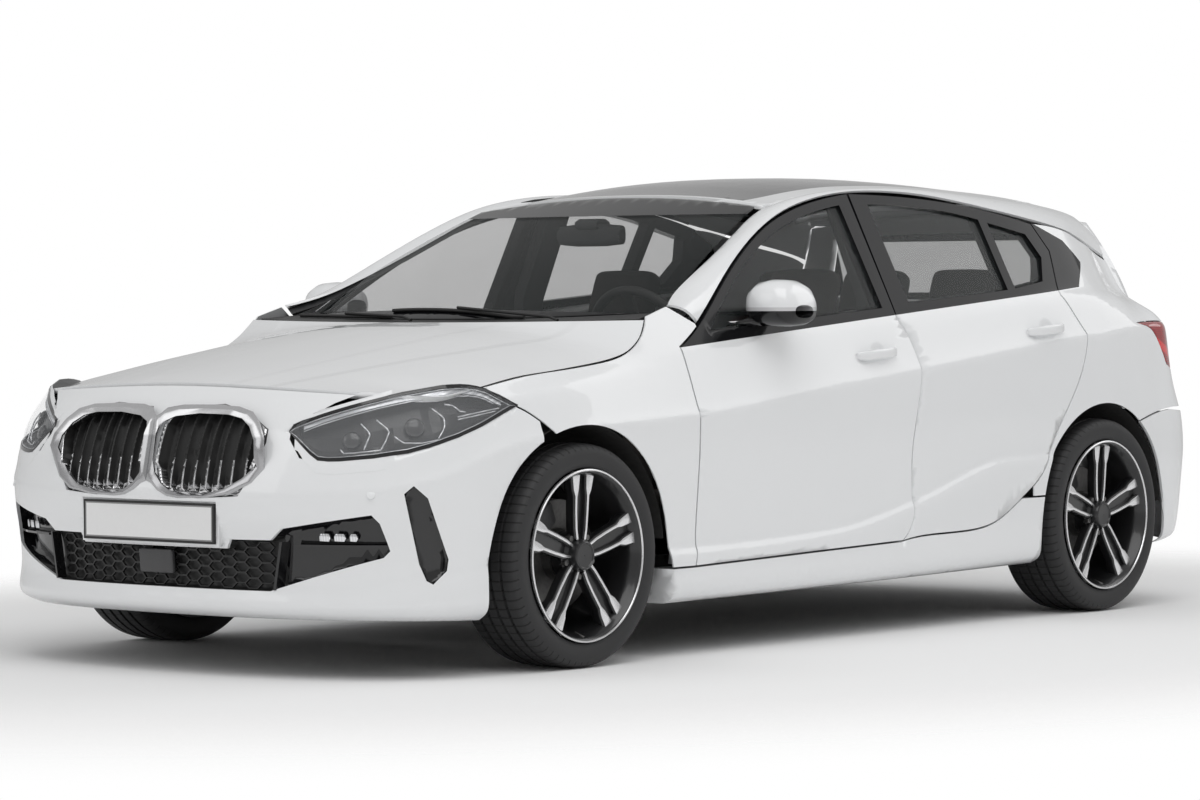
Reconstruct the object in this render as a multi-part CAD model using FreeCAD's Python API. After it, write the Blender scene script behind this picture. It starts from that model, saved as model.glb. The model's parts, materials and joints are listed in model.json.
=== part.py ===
import FreeCAD, Part
import functools
import math
import os

# Driving sizes of the car, in millimetres
FRONT_OVERHANG = 862.0
WHEELBASE = 2670.0
REAR_OVERHANG = 787.0
WIDTH = 1799.0
HEIGHT = 1434.0
TYRE_WIDTH = 225.0
RIM_WIDTH = 232.0

# Sizes that go with the body's width and height
TRACK_SHARE = 0.8699278
TYRE_SHARE = 0.222176
RIM_SHARE = 0.772128
TRACK = WIDTH * TRACK_SHARE
TYRE_RADIUS = HEIGHT * TYRE_SHARE
RIM_RADIUS = TYRE_RADIUS * RIM_SHARE

# Sheet and shell thicknesses
PANEL = 5.0
BUMPER_SHELL = 9.0
DOOR_DEPTH = 108.0
FRAME_DEPTH = 44.0
GLASS = 4.5
LINER = 3.0

# Clearances
PANEL_GAP = 6.0
SEAT_GAP = 0.3
OVERRUN = 60.0

# Derived reference places
LENGTH = FRONT_OVERHANG + WHEELBASE + REAR_OVERHANG
HALF_WIDTH = WIDTH / 2
NOSE_X = LENGTH / 2
FRONT_AXLE_X = NOSE_X - FRONT_OVERHANG
REAR_AXLE_X = FRONT_AXLE_X - WHEELBASE
WHEEL_Y = TRACK / 2
ARCH_RADIUS = TYRE_RADIUS * 1.16

# Stations run along the car: 0 nose, 1 front axle, 2 rear axle, 3 tail
FRONT_CORNER_STATION = 0.58
REAR_CORNER_STATION = 2.468
FRONT_FULLNESS = 2.5
REAR_FULLNESS = 2.7

# The body skin as a table of offsets: thirteen rows from bottom edge to window belt
HEIGHT_STATION_SHARES = [0, 0.3, 0.45, 0.58, 1.0, 1.18, 1.44, 1.6, 1.8, 1.94, 2.2, 2.468, 2.75, 3.0]
ROW_HEIGHT_SHARES = [
    [0.115, 0.115, 0.113, 0.110, 0.110, 0.111, 0.114, 0.117, 0.123, 0.127, 0.136, 0.143, 0.152, 0.157],
    [0.127, 0.127, 0.126, 0.126, 0.124, 0.124, 0.127, 0.131, 0.137, 0.141, 0.150, 0.157, 0.165, 0.169],
    [0.143, 0.145, 0.148, 0.152, 0.155, 0.157, 0.159, 0.163, 0.169, 0.174, 0.185, 0.195, 0.202, 0.202],
    [0.171, 0.174, 0.187, 0.199, 0.206, 0.207, 0.222, 0.271, 0.352, 0.352, 0.293, 0.251, 0.241, 0.241],
    [0.209, 0.209, 0.213, 0.220, 0.227, 0.228, 0.243, 0.291, 0.373, 0.373, 0.321, 0.293, 0.286, 0.286],
    [0.268, 0.272, 0.279, 0.293, 0.321, 0.328, 0.349, 0.384, 0.439, 0.460, 0.418, 0.370, 0.370, 0.370],
    [0.296, 0.303, 0.324, 0.363, 0.391, 0.404, 0.432, 0.460, 0.509, 0.537, 0.502, 0.446, 0.439, 0.436],
    [0.324, 0.338, 0.363, 0.408, 0.446, 0.464, 0.509, 0.533, 0.575, 0.600, 0.593, 0.558, 0.502, 0.488],
    [0.345, 0.359, 0.387, 0.431, 0.474, 0.487, 0.537, 0.565, 0.605, 0.629, 0.643, 0.650, 0.645, 0.638],
    [0.363, 0.377, 0.404, 0.446, 0.491, 0.505, 0.555, 0.583, 0.622, 0.647, 0.661, 0.667, 0.659, 0.652],
    [0.418, 0.425, 0.443, 0.474, 0.526, 0.547, 0.589, 0.615, 0.656, 0.680, 0.690, 0.690, 0.673, 0.664],
    [0.502, 0.492, 0.495, 0.520, 0.566, 0.596, 0.631, 0.656, 0.704, 0.725, 0.722, 0.711, 0.687, 0.675],
    [0.565, 0.549, 0.540, 0.556, 0.589, 0.626, 0.660, 0.684, 0.723, 0.745, 0.746, 0.736, 0.711, 0.690],
]
WIDTH_STATION_SHARES = [0.58, 1.0, 1.18, 1.6, 1.94, 2.2, 2.468]
ROW_WIDTH_SHARES = [
    [0.945, 0.945, 0.945, 0.945, 0.945, 0.940, 0.930],
    [0.983, 0.983, 0.983, 0.983, 0.983, 0.980, 0.975],
    [0.993, 0.993, 0.993, 0.993, 0.993, 0.990, 0.985],
    [0.988, 0.988, 0.988, 0.988, 0.990, 0.990, 0.990],
    [0.980, 0.978, 0.974, 0.974, 0.980, 0.988, 0.992],
    [0.988, 0.986, 0.984, 0.984, 0.988, 0.992, 0.998],
    [0.990, 0.990, 0.990, 0.990, 0.990, 0.992, 0.996],
    [0.993, 0.993, 0.993, 0.993, 0.992, 0.988, 0.980],
    [0.994, 0.994, 0.994, 0.994, 0.993, 0.984, 0.967],
    [0.984, 0.984, 0.984, 0.984, 0.984, 0.974, 0.952],
    [0.972, 0.966, 0.968, 0.968, 0.968, 0.954, 0.920],
    [0.955, 0.940, 0.950, 0.952, 0.945, 0.918, 0.868],
    [0.919, 0.890, 0.939, 0.939, 0.915, 0.858, 0.790],
]
TAPER_SHARES = [
    (0.58, 0.968), (0.66, 0.970), (1.0, 1.006), (1.2, 1.0),
    (1.6, 0.998), (2.0, 1.006), (2.25, 0.998), (2.468, 0.985),
]
NOSE_SETBACK_SHARES = [
    0.087, 0.046, 0.0325, 0.042, 0.038, 0.0255, 0.009, 0.0035, 0.0, 0.0025, 0.021, 0.075, 0.180,
]
TAIL_SETBACK_SHARES = [
    0.127, 0.095, 0.064, 0.045, 0.025, 0.0, 0.030, 0.155, 0.225, 0.235, 0.262, 0.298, 0.335,
]
BELT_ROW = len(NOSE_SETBACK_SHARES) - 1
GLASS_TOP_ROW = BELT_ROW + 2
GLASS_LEAN = 0.51
CUBIC = 3


def vector(x, y, z):
    return FreeCAD.Vector(x, y, z)


def fair(knots, place, level=False):
    """Value of a fair curve through the knots, with no overshoot between them."""
    if place <= knots[0][0]:
        return knots[0][1]
    if place >= knots[-1][0]:
        return knots[-1][1]
    rises = [(b[1] - a[1]) / (b[0] - a[0]) for a, b in zip(knots, knots[1:])]
    tangents = [0 if level else rises[0]]
    for before, after in zip(rises, rises[1:]):
        same_way = before * after > 0
        tangents.append(2 * before * after / (before + after) if same_way else 0)
    tangents.append(0 if level else rises[-1])
    span = max(i for i in range(len(rises)) if knots[i][0] <= place)
    step = knots[span + 1][0] - knots[span][0]
    t = (place - knots[span][0]) / step
    start, end = knots[span][1], knots[span + 1][1]
    hermite_start = (1 + 2 * t) * (1 - t) ** 2
    hermite_end = t * t * (3 - 2 * t)
    lean_start = t * (1 - t) ** 2 * step * tangents[span]
    lean_end = t * t * (t - 1) * step * tangents[span + 1]
    return start * hermite_start + end * hermite_end + lean_start + lean_end


def spread(first, last, count):
    """Evenly spaced values from first to last, both included."""
    return [first + (last - first) * i / (count - 1) for i in range(count)]


def x_at(station):
    if station <= 1:
        return NOSE_X - station * FRONT_OVERHANG
    if station <= 2:
        return FRONT_AXLE_X - (station - 1) * WHEELBASE
    return REAR_AXLE_X - (station - 2) * REAR_OVERHANG


def corner(angle, fullness):
    """Depth and breadth shares of a full rounded plan corner at an angle from straight ahead."""
    ahead = math.cos(angle)
    aside = math.sin(angle)
    reach = (ahead ** fullness + aside ** fullness) ** (-1 / fullness)
    return ahead * reach, aside * reach


@functools.lru_cache(maxsize=None)
def section(station):
    """Heights and half breadths of all skin rows at a station."""
    heights = [HEIGHT * fair(list(zip(HEIGHT_STATION_SHARES, line)), station, True) for line in ROW_HEIGHT_SHARES]
    half = HALF_WIDTH * fair(TAPER_SHARES, station)
    breadths = [half * fair(list(zip(WIDTH_STATION_SHARES, line)), station, True) for line in ROW_WIDTH_SHARES]
    return list(enumerate(heights)), list(enumerate(breadths))


def skin_point(station, row, inset=0):
    """A point of the body skin; on the right where the station is negative or past the tail."""
    if station > 3:
        station -= 6
    side = -1 if station < 0 else 1
    station = abs(station)
    lower = min(row, BELT_ROW)
    heights, breadths = section(station)
    z = fair(heights, lower)
    y = fair(breadths, lower)
    if row > BELT_ROW:
        rise = (HEIGHT - z) * (row - BELT_ROW) / (GLASS_TOP_ROW - BELT_ROW)
        z += rise
        y -= rise * GLASS_LEAN
    if station < FRONT_CORNER_STATION:
        angle = math.pi / 2 * station / FRONT_CORNER_STATION
        setback = fair(list(enumerate(NOSE_SETBACK_SHARES)), lower) * FRONT_OVERHANG
        depth, breadth = corner(angle, FRONT_FULLNESS)
        start = x_at(FRONT_CORNER_STATION)
        x = start + (NOSE_X - setback - start) * depth
        y *= breadth
        ahead, aside = math.cos(angle), math.sin(angle)
    elif station > REAR_CORNER_STATION:
        angle = math.pi / 2 * (3 - station) / (3 - REAR_CORNER_STATION)
        setback = fair(list(enumerate(TAIL_SETBACK_SHARES)), lower) * REAR_OVERHANG
        depth, breadth = corner(angle, REAR_FULLNESS)
        start = x_at(REAR_CORNER_STATION)
        x = start - (start + NOSE_X - setback) * depth
        y *= breadth
        ahead, aside = -math.cos(angle), math.sin(angle)
    else:
        x = x_at(station)
        ahead, aside = 0, 1
    return vector(x - inset * ahead, side * (y - inset * aside), z)


def skin_grid(stations, rows, inset=0):
    return [[skin_point(station, row, inset) for row in rows] for station in stations]


def surface(grid):
    """A bicubic surface drawn over the grid, which holds its control points."""
    patch = Part.BSplineSurface()
    u_spans = len(grid) - CUBIC
    v_spans = len(grid[0]) - CUBIC
    patch.buildFromPolesMultsKnots(
        grid,
        [CUBIC + 1] + [1] * (u_spans - 1) + [CUBIC + 1], [CUBIC + 1] + [1] * (v_spans - 1) + [CUBIC + 1],
        list(range(u_spans + 1)), list(range(v_spans + 1)), False, False, CUBIC, CUBIC,
    )
    return patch


def slab(outer_grid, inner_grid):
    """Solid between two point grids, with ruled walls along their four edges."""
    outer = surface(outer_grid)
    inner = surface(inner_grid)
    faces = [outer.toShape(), inner.toShape()]
    u0, u1, v0, v1 = outer.bounds()
    s0, s1, t0, t1 = inner.bounds()
    for a, b in (
        (outer.uIso(u0), inner.uIso(s0)), (outer.uIso(u1), inner.uIso(s1)),
        (outer.vIso(v0), inner.vIso(t0)), (outer.vIso(v1), inner.vIso(t1)),
    ):
        faces.append(Part.makeRuledSurface(a.toShape(), b.toShape()))
    return closed(faces)


def closed(faces):
    shell = Part.makeShell(faces)
    shell.sewShape()
    solid = Part.makeSolid(shell)
    if solid.Volume < 0:
        solid.reverse()
    return solid


def mirrored(shape):
    return shape.mirror(vector(0, 0, 0), vector(0, 1, 0))


def pair(shape):
    return Part.makeCompound([shape, mirrored(shape)])


def box(x0, x1, y0, y1, z0, z1):
    return Part.makeBox(x1 - x0, y1 - y0, z1 - z0, vector(x0, y0, z0))


def cylinder(centre, axis, radius, length):
    return Part.makeCylinder(radius, length, centre, axis)


def solids(shape):
    return Part.makeCompound(shape.Solids)


def grown(loop, amount):
    """The closed loop of plane points moved outwards by an amount, with mitred corners."""
    area = sum(a[0] * b[1] - b[0] * a[1] for a, b in zip(loop, loop[1:] + loop[:1]))
    turn = 1 if area > 0 else -1
    normals = []
    for a, b in zip(loop, loop[1:] + loop[:1]):
        run = math.hypot(b[0] - a[0], b[1] - a[1])
        normals.append((turn * (b[1] - a[1]) / run, -turn * (b[0] - a[0]) / run))
    moved = []
    for i, point in enumerate(loop):
        across = normals[i - 1][0] + normals[i][0]
        up = normals[i - 1][1] + normals[i][1]
        reach = 2 * amount / (across ** 2 + up ** 2)
        moved.append((point[0] + across * reach, point[1] + up * reach))
    return moved


def runs_wire(runs, loop, place):
    """A wire with one line or fair curve for each run of the loop."""
    edges = []
    start = 0
    for run in runs:
        points = [place(loop[(start + i) % len(loop)], (start + i) % len(loop)) for i in range(len(run) + 1)]
        if len(points) == 2:
            edges.append(Part.LineSegment(points[0], points[1]).toShape())
        else:
            curve = Part.BSplineCurve()
            curve.interpolate(points)
            edges.append(curve.toShape())
        start += len(run)
    return Part.Wire(edges)


def side_y(station, z):
    """Half breadth of the body side at a height."""
    low, high = 0, GLASS_TOP_ROW
    for _ in range(24):
        middle = (low + high) / 2
        if skin_point(station, middle).z < z:
            low = middle
        else:
            high = middle
    return skin_point(station, low).y


def side_cutter(runs, growth=0):
    """Solid through the left body side along an outline of stations, heights and leans.

    Each run holds the points after the previous run's end; a lean carries the cut
    rearwards as it goes outwards, for the edge that swings away from its neighbour.
    """
    marks = [mark for run in runs for mark in run]
    marks = marks[-1:] + marks[:-1]
    flat = [(x_at(mark[0]), HEIGHT * mark[1]) for mark in marks]
    breadths = [side_y(mark[0], HEIGHT * mark[1]) for mark in marks]
    loop = grown(flat, growth)

    def wire_at(y):
        def place(point, index):
            lean = marks[index][2] if len(marks[index]) > 2 else 0
            return vector(point[0] - lean * (y - breadths[index]), y, point[1])
        return runs_wire(runs, loop, place)

    return Part.makeLoft([wire_at(HALF_WIDTH * CUT_INNER_SHARE), wire_at(HALF_WIDTH + OVERRUN)], True, True)


def front_cutter(outline, rear_x, front_x, growth=0):
    """Straight-sided solid along X from an outline of breadth and height shares."""
    loop = [(HALF_WIDTH * b, HEIGHT * h) for b, h in outline]
    if growth:
        loop = grown(loop, growth)
    points = [vector(rear_x, y, z) for y, z in loop]
    face = Part.Face(Part.makePolygon(points + points[:1]))
    return face.extrude(vector(front_x - rear_x, 0, 0))


CUT_INNER_SHARE = 0.42

# Outlines in the side view: stations, height shares and leans, in runs between corners
B_LEAN = 0.24
FRONT_DOOR_SHARES = [
    [(1.571, 0.200, B_LEAN)],
    [(1.597, 0.275, B_LEAN), (1.593, 0.374, B_LEAN), (1.599, 0.459, B_LEAN), (1.607, 0.593, B_LEAN),
     (1.585, 0.679, B_LEAN)],
    [(1.587, 0.954, B_LEAN)],
    [(1.492, 0.926), (1.426, 0.889), (1.359, 0.830), (1.295, 0.757), (1.239, 0.687), (1.200, 0.645)],
    [(1.182, 0.628)],
    [(1.187, 0.570), (1.191, 0.509), (1.191, 0.360), (1.190, 0.215)],
    [(1.184, 0.183)],
]
REAR_DOOR_SHARES = [
    [(1.705, 0.211), (1.764, 0.228), (1.818, 0.278), (1.861, 0.332, 0.1), (1.898, 0.432, 0.2),
     (1.942, 0.546, 0.3), (1.956, 0.640, 0.3)],
    [(1.924, 0.729, 0.3)],
    [(1.938, 0.790, 0.3), (1.946, 0.830, 0.3)],
    [(1.930, 0.893, 0.3)],
    [(1.786, 0.936), (1.647, 0.953), (1.589, 0.954, B_LEAN)],
    [(1.585, 0.679, B_LEAN)],
    [(1.607, 0.593, B_LEAN), (1.599, 0.459, B_LEAN), (1.593, 0.374, B_LEAN), (1.597, 0.275, B_LEAN),
     (1.571, 0.200, B_LEAN)],
]
FRONT_GLASS_SHARES = [
    [(1.565, 0.703)],
    [(1.564, 0.927)],
    [(1.492, 0.903), (1.426, 0.866), (1.359, 0.808), (1.295, 0.734), (1.262, 0.690)],
    [(1.240, 0.660)],
]
REAR_GLASS_SHARES = [
    [(1.822, 0.741)],
    [(1.822, 0.900)],
    [(1.786, 0.911), (1.647, 0.930), (1.618, 0.930)],
    [(1.618, 0.713)],
]
QUARTER_GLASS_SHARES = [
    [(1.902, 0.760)],
    [(1.922, 0.815)],
    [(1.908, 0.868)],
    [(1.838, 0.893)],
    [(1.838, 0.744)],
]
BONNET_SIDE_SHARES = [
    (0.58, 0.556), (0.64, 0.562), (0.80, 0.577), (1.0, 0.589), (1.05, 0.599), (1.093, 0.615),
    (1.125, 0.646), (1.147, 0.692),
]
FENDER_SHARES = [
    [(0.900, 0.432)],
    [(0.850, 0.465), (0.792, 0.495), (0.722, 0.518)],
    [(0.640, 0.546), (0.585, 0.557)],
    BONNET_SIDE_SHARES[1:],
    [(1.185, 0.712)],
    [(1.222, 0.676)],
    [(1.240, 0.183)],
    [(1.050, 0.183)],
    [(1.050, 0.432)],
]
SILL_SHARES = [
    [(1.900, 0.090)],
    [(1.900, 0.2755)],
    [(1.775, 0.2755)],
    [(1.740, 0.235)],
    [(1.190, 0.235)],
    [(1.190, 0.183)],
    [(1.100, 0.183)],
    [(1.100, 0.090)],
]
REAR_QUARTER_SHARES = [
    [(2.980, 0.462)],
    [(2.980, 0.700)],
    [(2.640, 0.700)],
    [(2.620, 0.716)],
    [(2.500, 0.805)],
    [(2.400, 0.826), (2.20, 0.852), (2.06, 0.872), (1.950, 0.892)],
    [(1.850, 0.905)],
    [(1.800, 0.2755)],
    [(2.150, 0.2755)],
    [(2.200, 0.424)],
    [(2.260, 0.434), (2.400, 0.452), (2.560, 0.462)],
]


ARCH_SPREAD_SHARE = 0.26
ARCH_SPREAD_START_SHARE = 0.25
ARCH_SPREAD_POWER = 1.5


def arch_cutter(axle_x):
    """The wheel opening: a round arch whose legs spread towards the sills and bumpers."""
    arc_points = []
    for degrees in (-52, -30, 0, 30, 60, 90, 120, 150, 180, 210, 232):
        below = max(0, ARCH_SPREAD_START_SHARE - math.sin(math.radians(degrees)))
        spread_share = 1 + ARCH_SPREAD_SHARE * below ** ARCH_SPREAD_POWER
        radius = ARCH_RADIUS * spread_share
        angle = math.radians(degrees)
        arc_points.append(vector(
            axle_x + radius * math.cos(angle), HALF_WIDTH * CUT_INNER_SHARE, TYRE_RADIUS + radius * math.sin(angle)
        ))
    curve = Part.BSplineCurve()
    curve.interpolate(arc_points)
    base = Part.LineSegment(arc_points[-1], arc_points[0]).toShape()
    face = Part.Face(Part.Wire([curve.toShape(), base]))
    return face.extrude(vector(0, HALF_WIDTH * (1 - CUT_INNER_SHARE) + OVERRUN, 0))


def skin_slab(first, last, columns, rows, depth):
    """A stretch of body skin with a depth that may change from row to row."""
    stations = spread(first, last, columns)
    outer = skin_grid(stations, rows)
    inner = [[skin_point(station, row, depth(row)) for row in rows] for station in stations]
    return slab(outer, inner)


DOOR_STEP_ROWS = (-0.7, 0.1)


def door_depth(row):
    thick, thin = [BELT_ROW + step for step in DOOR_STEP_ROWS]
    knots = [(0, DOOR_DEPTH), (thick, DOOR_DEPTH), (thin, FRAME_DEPTH), (GLASS_TOP_ROW, FRAME_DEPTH)]
    return fair(knots, row)


def panel_depth(row):
    return PANEL


SIDE_ROWS = [i / 2 for i in range(2, 2 * GLASS_TOP_ROW + 1)]


def side_door(outline, windows, first, last):
    blank = skin_slab(first, last, 12, SIDE_ROWS, door_depth)
    door = blank.common(side_cutter(outline, -PANEL_GAP / 2))
    for window in windows:
        door = door.cut(side_cutter(window))
    return solids(door)


def side_glass(windows, first, last):
    rows = [i / 2 for i in range(2 * BELT_ROW - 2, 2 * GLASS_TOP_ROW + 1)]
    stations = spread(first, last, 8)
    sheet = slab(skin_grid(stations, rows, GLASS * 2), skin_grid(stations, rows, GLASS * 3))
    return Part.makeCompound([
        solid for window in windows for solid in sheet.common(side_cutter(window, -SEAT_GAP)).Solids
    ])


FENDER_STATIONS = (0.44, 1.26)
QUARTER_START_STATION = 1.84
QUARTER_END_GAP_SHARE = 0.01
SILL_STATIONS = (1.08, 1.92)


def fender():
    rows = [i / 2 for i in range(2, 2 * GLASS_TOP_ROW)]
    blank = skin_slab(*FENDER_STATIONS, 16, rows, panel_depth)
    panel = blank.common(side_cutter(FENDER_SHARES, -PANEL_GAP / 2))
    panel = panel.cut(side_cutter(FRONT_DOOR_SHARES, PANEL_GAP / 2))
    return solids(panel.cut(arch_cutter(FRONT_AXLE_X)).cut(lamp_cutter(PANEL_GAP / 2)))


def rear_quarter():
    rows = [i / 2 for i in range(2, 2 * GLASS_TOP_ROW + 1)]
    blank = skin_slab(QUARTER_START_STATION, TAIL_CORNER_STATION - QUARTER_END_GAP_SHARE, 30, rows, panel_depth)
    panel = blank.common(side_cutter(REAR_QUARTER_SHARES, -PANEL_GAP / 2))
    panel = panel.cut(side_cutter(REAR_DOOR_SHARES, PANEL_GAP / 2))
    for cutter in (arch_cutter(REAR_AXLE_X), tail_lamp_block(PANEL_GAP / 2), gate_space()):
        panel = panel.cut(cutter)
    return solids(panel)


def sill_depth(row):
    return SILL_DEPTH


# Stations, breadth and heights of the room beside a hinge that a swinging edge passes through
DOOR_SWEEP_SHARES = (1.565, 1.645, 0.948, 0.198, 0.25)
GATE_SWEEP_SHARES = (2.425, 2.500, 0.645, 0.860, 0.925)


def sweep_room(shares):
    """Block of room inboard of a breadth that a door or the tailgate needs as it swings."""
    front, rear, breadth, low, high = shares
    return box(x_at(rear), x_at(front), 0, HALF_WIDTH * breadth, HEIGHT * low, HEIGHT * high)


def side_sill():
    rows = [i / 2 for i in range(0, 12)]
    blank = skin_slab(*SILL_STATIONS, 22, rows, sill_depth)
    panel = blank.common(side_cutter(SILL_SHARES, -PANEL_GAP / 2))
    panel = panel.cut(side_cutter(FRONT_DOOR_SHARES, PANEL_GAP / 2))
    panel = panel.cut(side_cutter(REAR_DOOR_SHARES, PANEL_GAP / 2))
    for axle_x in (FRONT_AXLE_X, REAR_AXLE_X):
        panel = panel.cut(arch_cutter(axle_x)).cut(liner_space(axle_x))
    return solids(panel.cut(sweep_room(DOOR_SWEEP_SHARES)))


SILL_DEPTH = 105.0
BUMPER_TOP_ROW = BELT_ROW - 0.08
BUMPER_END_SHARES = [
    [(0.900, 0.432)],
    [(0.850, 0.465), (0.792, 0.495), (0.722, 0.518)],
    [(0.640, 0.546), (0.585, 0.557)],
    [(0.560, 0.620)],
    [(1.1, 0.620)],
    [(1.1, 0.432)],
]
KIDNEY_SHARES = [
    (0.045, 0.372), (0.030, 0.400), (0.030, 0.490), (0.060, 0.520), (0.235, 0.527), (0.350, 0.512),
    (0.445, 0.480), (0.452, 0.455), (0.425, 0.395), (0.380, 0.352), (0.225, 0.346), (0.090, 0.350),
]
INTAKE_SHARES = [
    (0.478, 0.2685), (0.522, 0.291), (0.789, 0.319), (0.807, 0.303), (0.823, 0.250), (0.806, 0.237), (0.465, 0.170),
    (-0.465, 0.170), (-0.806, 0.237), (-0.823, 0.250), (-0.807, 0.303), (-0.789, 0.319), (-0.522, 0.291), (-0.478, 0.2685),
    (-0.330, 0.268), (-0.315, 0.250), (0.315, 0.250), (0.330, 0.268),
]
# Breadth and height shares of the upright slot at the bumper's corner, seen along the lamp's bearing
SLOT_SHARES = [
    (0.429, 0.359), (0.458, 0.374), (0.500, 0.350), (0.560, 0.232), (0.555, 0.210), (0.514, 0.185), (0.494, 0.192),
    (0.472, 0.224),
]
NOSE_SPAN_SHARE = 0.80
NOSE_COLUMNS = 45


def nose_sheet(outer, inner):
    """The nose's skin between two depths, from one wheel opening round to the other."""
    stations = spread(-NOSE_SPAN_SHARE, NOSE_SPAN_SHARE, NOSE_COLUMNS)
    rows = [i / 2 for i in range(0, 2 * BELT_ROW)] + [BUMPER_TOP_ROW]
    return slab(skin_grid(stations, rows, outer), skin_grid(stations, rows, inner))


def front_bumper():
    shell = nose_sheet(0, BUMPER_SHELL)
    back = x_at(FRONT_CORNER_STATION)
    lamp = lamp_cutter(PANEL_GAP / 2)
    slot = corner_cutter(SLOT_SHARES)
    end = side_cutter(BUMPER_END_SHARES, PANEL_GAP / 2)
    arch = arch_cutter(FRONT_AXLE_X)
    kidney = front_cutter(KIDNEY_SHARES, back, NOSE_X + OVERRUN)
    for cutter in (end, arch, kidney, lamp, slot):
        shell = shell.cut(cutter).cut(mirrored(cutter))
    shell = shell.cut(front_cutter(INTAKE_SHARES, back, NOSE_X + OVERRUN))
    face = plate_face()
    low, high = face.z - PLATE_HEIGHT / 2 - PLATE_BORDER, face.z + PLATE_HEIGHT / 2 + PLATE_BORDER
    half = PLATE_LENGTH / 2 + PLATE_BORDER
    recess = box(face.x, face.x + OVERRUN, -half, half, low, high)
    plinth = box(face.x - PLINTH_DEPTH, face.x, -half - PLATE_BORDER, half + PLATE_BORDER, low, high)
    return solids(shell.cut(recess).fuse(plinth))


LAMP_BEARING = 40
LAMP_SHARES = [
    (0.085, 0.484), (0.130, 0.500), (0.215, 0.528), (0.300, 0.548), (0.365, 0.558), (0.440, 0.553),
    (0.560, 0.522), (0.500, 0.498), (0.400, 0.466), (0.270, 0.440), (0.155, 0.424), (0.110, 0.428),
    (0.080, 0.462),
]


CORNER_ORIGIN_SHARES = (0.25, 0.32)
CORNER_REACH_SHARE = 0.8


def corner_cutter(outline, growth=0):
    """Solid from an outline of breadth and height shares, seen along a bearing that faces the body's corner."""
    bearing = math.radians(LAMP_BEARING)
    aside = vector(-math.sin(bearing), math.cos(bearing), 0)
    ahead = vector(math.cos(bearing), math.sin(bearing), 0)
    loop = [(HALF_WIDTH * b, HEIGHT * h) for b, h in outline]
    if growth:
        loop = grown(loop, growth)
    centre = skin_point(FRONT_CORNER_STATION / 2, BELT_ROW - 2)
    back_aside, back_ahead = CORNER_ORIGIN_SHARES
    origin = vector(centre.x, centre.y, 0) - aside * HALF_WIDTH * back_aside - ahead * HALF_WIDTH * back_ahead
    points = [origin + aside * b + vector(0, 0, h) for b, h in loop]
    face = Part.Face(Part.makePolygon(points + points[:1]))
    return face.extrude(ahead * HALF_WIDTH * CORNER_REACH_SHARE)


def lamp_cutter(growth=0):
    return corner_cutter(LAMP_SHARES, growth)


NOSE_STATIONS = (0.10, 0.75)


def headlamp():
    rows = [i / 2 for i in range(14, 2 * BELT_ROW)] + [BUMPER_TOP_ROW]
    stations = spread(*NOSE_STATIONS, 16)
    lens = slab(skin_grid(stations, rows, SEAT_GAP), skin_grid(stations, rows, LENS))
    rows = [i / 2 for i in range(14, 2 * BELT_ROW - 2)]
    housing = slab(skin_grid(stations, rows, LENS + LAMP_SPACE), skin_grid(stations, rows, LENS + LAMP_SPACE + LENS))
    return solids(lens.common(lamp_cutter())), solids(housing.common(lamp_cutter()))


LENS = 4.0
LAMP_SPACE = 45.0
BONNET_CORNER_STATION = 0.34
BONNET_DEPTH = 18.0
BONNET_INNER_SHARE = 0.97
BONNET_CENTRE_SHARES = [(0, 0.565), (0.12, 0.582), (0.35, 0.610), (0.65, 0.646), (0.85, 0.668), (1, 0.679)]
BONNET_REAR_STATION = 1.089
BONNET_SPAN_SHARE = 0.995
BONNET_START_SHARE = 0.009
BONNET_STEP_SHARE = 0.88
BONNET_BOW_POWER = 2.2
BONNET_BLEND_POWER = 2.4


def bonnet_edge(w):
    """Side edge of the bonnet from its front corner to the windscreen corner."""
    first, last = BONNET_CORNER_STATION, BONNET_SIDE_SHARES[-1][0]
    station = first + (last - first) * w
    if station < FRONT_CORNER_STATION:
        return skin_point(station, BELT_ROW)
    height = HEIGHT * fair(BONNET_SIDE_SHARES, station)
    return vector(x_at(station), side_y(station, height), height)


def bonnet_point(u, w, drop=0):
    """A point of the bonnet: u runs from the centre line to the side, w from front to rear."""
    side = -1 if u < 0 else 1
    u = abs(u)
    front = skin_point(BONNET_CORNER_STATION * u, BELT_ROW)
    edge = bonnet_edge(w)
    rear_corner = bonnet_edge(1)
    front_corner = bonnet_edge(0)
    centre_front = skin_point(0, BELT_ROW)
    rear_x = x_at(BONNET_REAR_STATION)
    rear_z = HEIGHT * BONNET_CENTRE_SHARES[-1][1]
    bow = u ** BONNET_BOW_POWER
    rear = vector(rear_x + (rear_corner.x - rear_x) * bow, rear_corner.y * u, rear_z + (rear_corner.z - rear_z) * bow)
    centre = vector(centre_front.x + (rear_x - centre_front.x) * w, 0, HEIGHT * fair(BONNET_CENTRE_SHARES, w))
    along = front * (1 - w) + rear * w
    along_centre = centre_front * (1 - w) + vector(rear_x, 0, rear_z) * w
    along_edge = front_corner * (1 - w) + rear_corner * w
    blend = u ** BONNET_BLEND_POWER
    point = along + (centre - along_centre) * (1 - blend) + (edge - along_edge) * blend
    return vector(point.x, side * point.y, point.z - drop)


def bonnet():
    us = spread(-BONNET_SPAN_SHARE, BONNET_SPAN_SHARE, 37)
    ws = spread(BONNET_START_SHARE, BONNET_STEP_SHARE, 20) + spread(BONNET_STEP_SHARE, BONNET_SPAN_SHARE, 16)[1:]
    outer = [[bonnet_point(u, w) for w in ws] for u in us]
    inner = [[bonnet_point(u * BONNET_INNER_SHARE, w, BONNET_DEPTH) for w in ws] for u in us]
    return slab(outer, inner)


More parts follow.
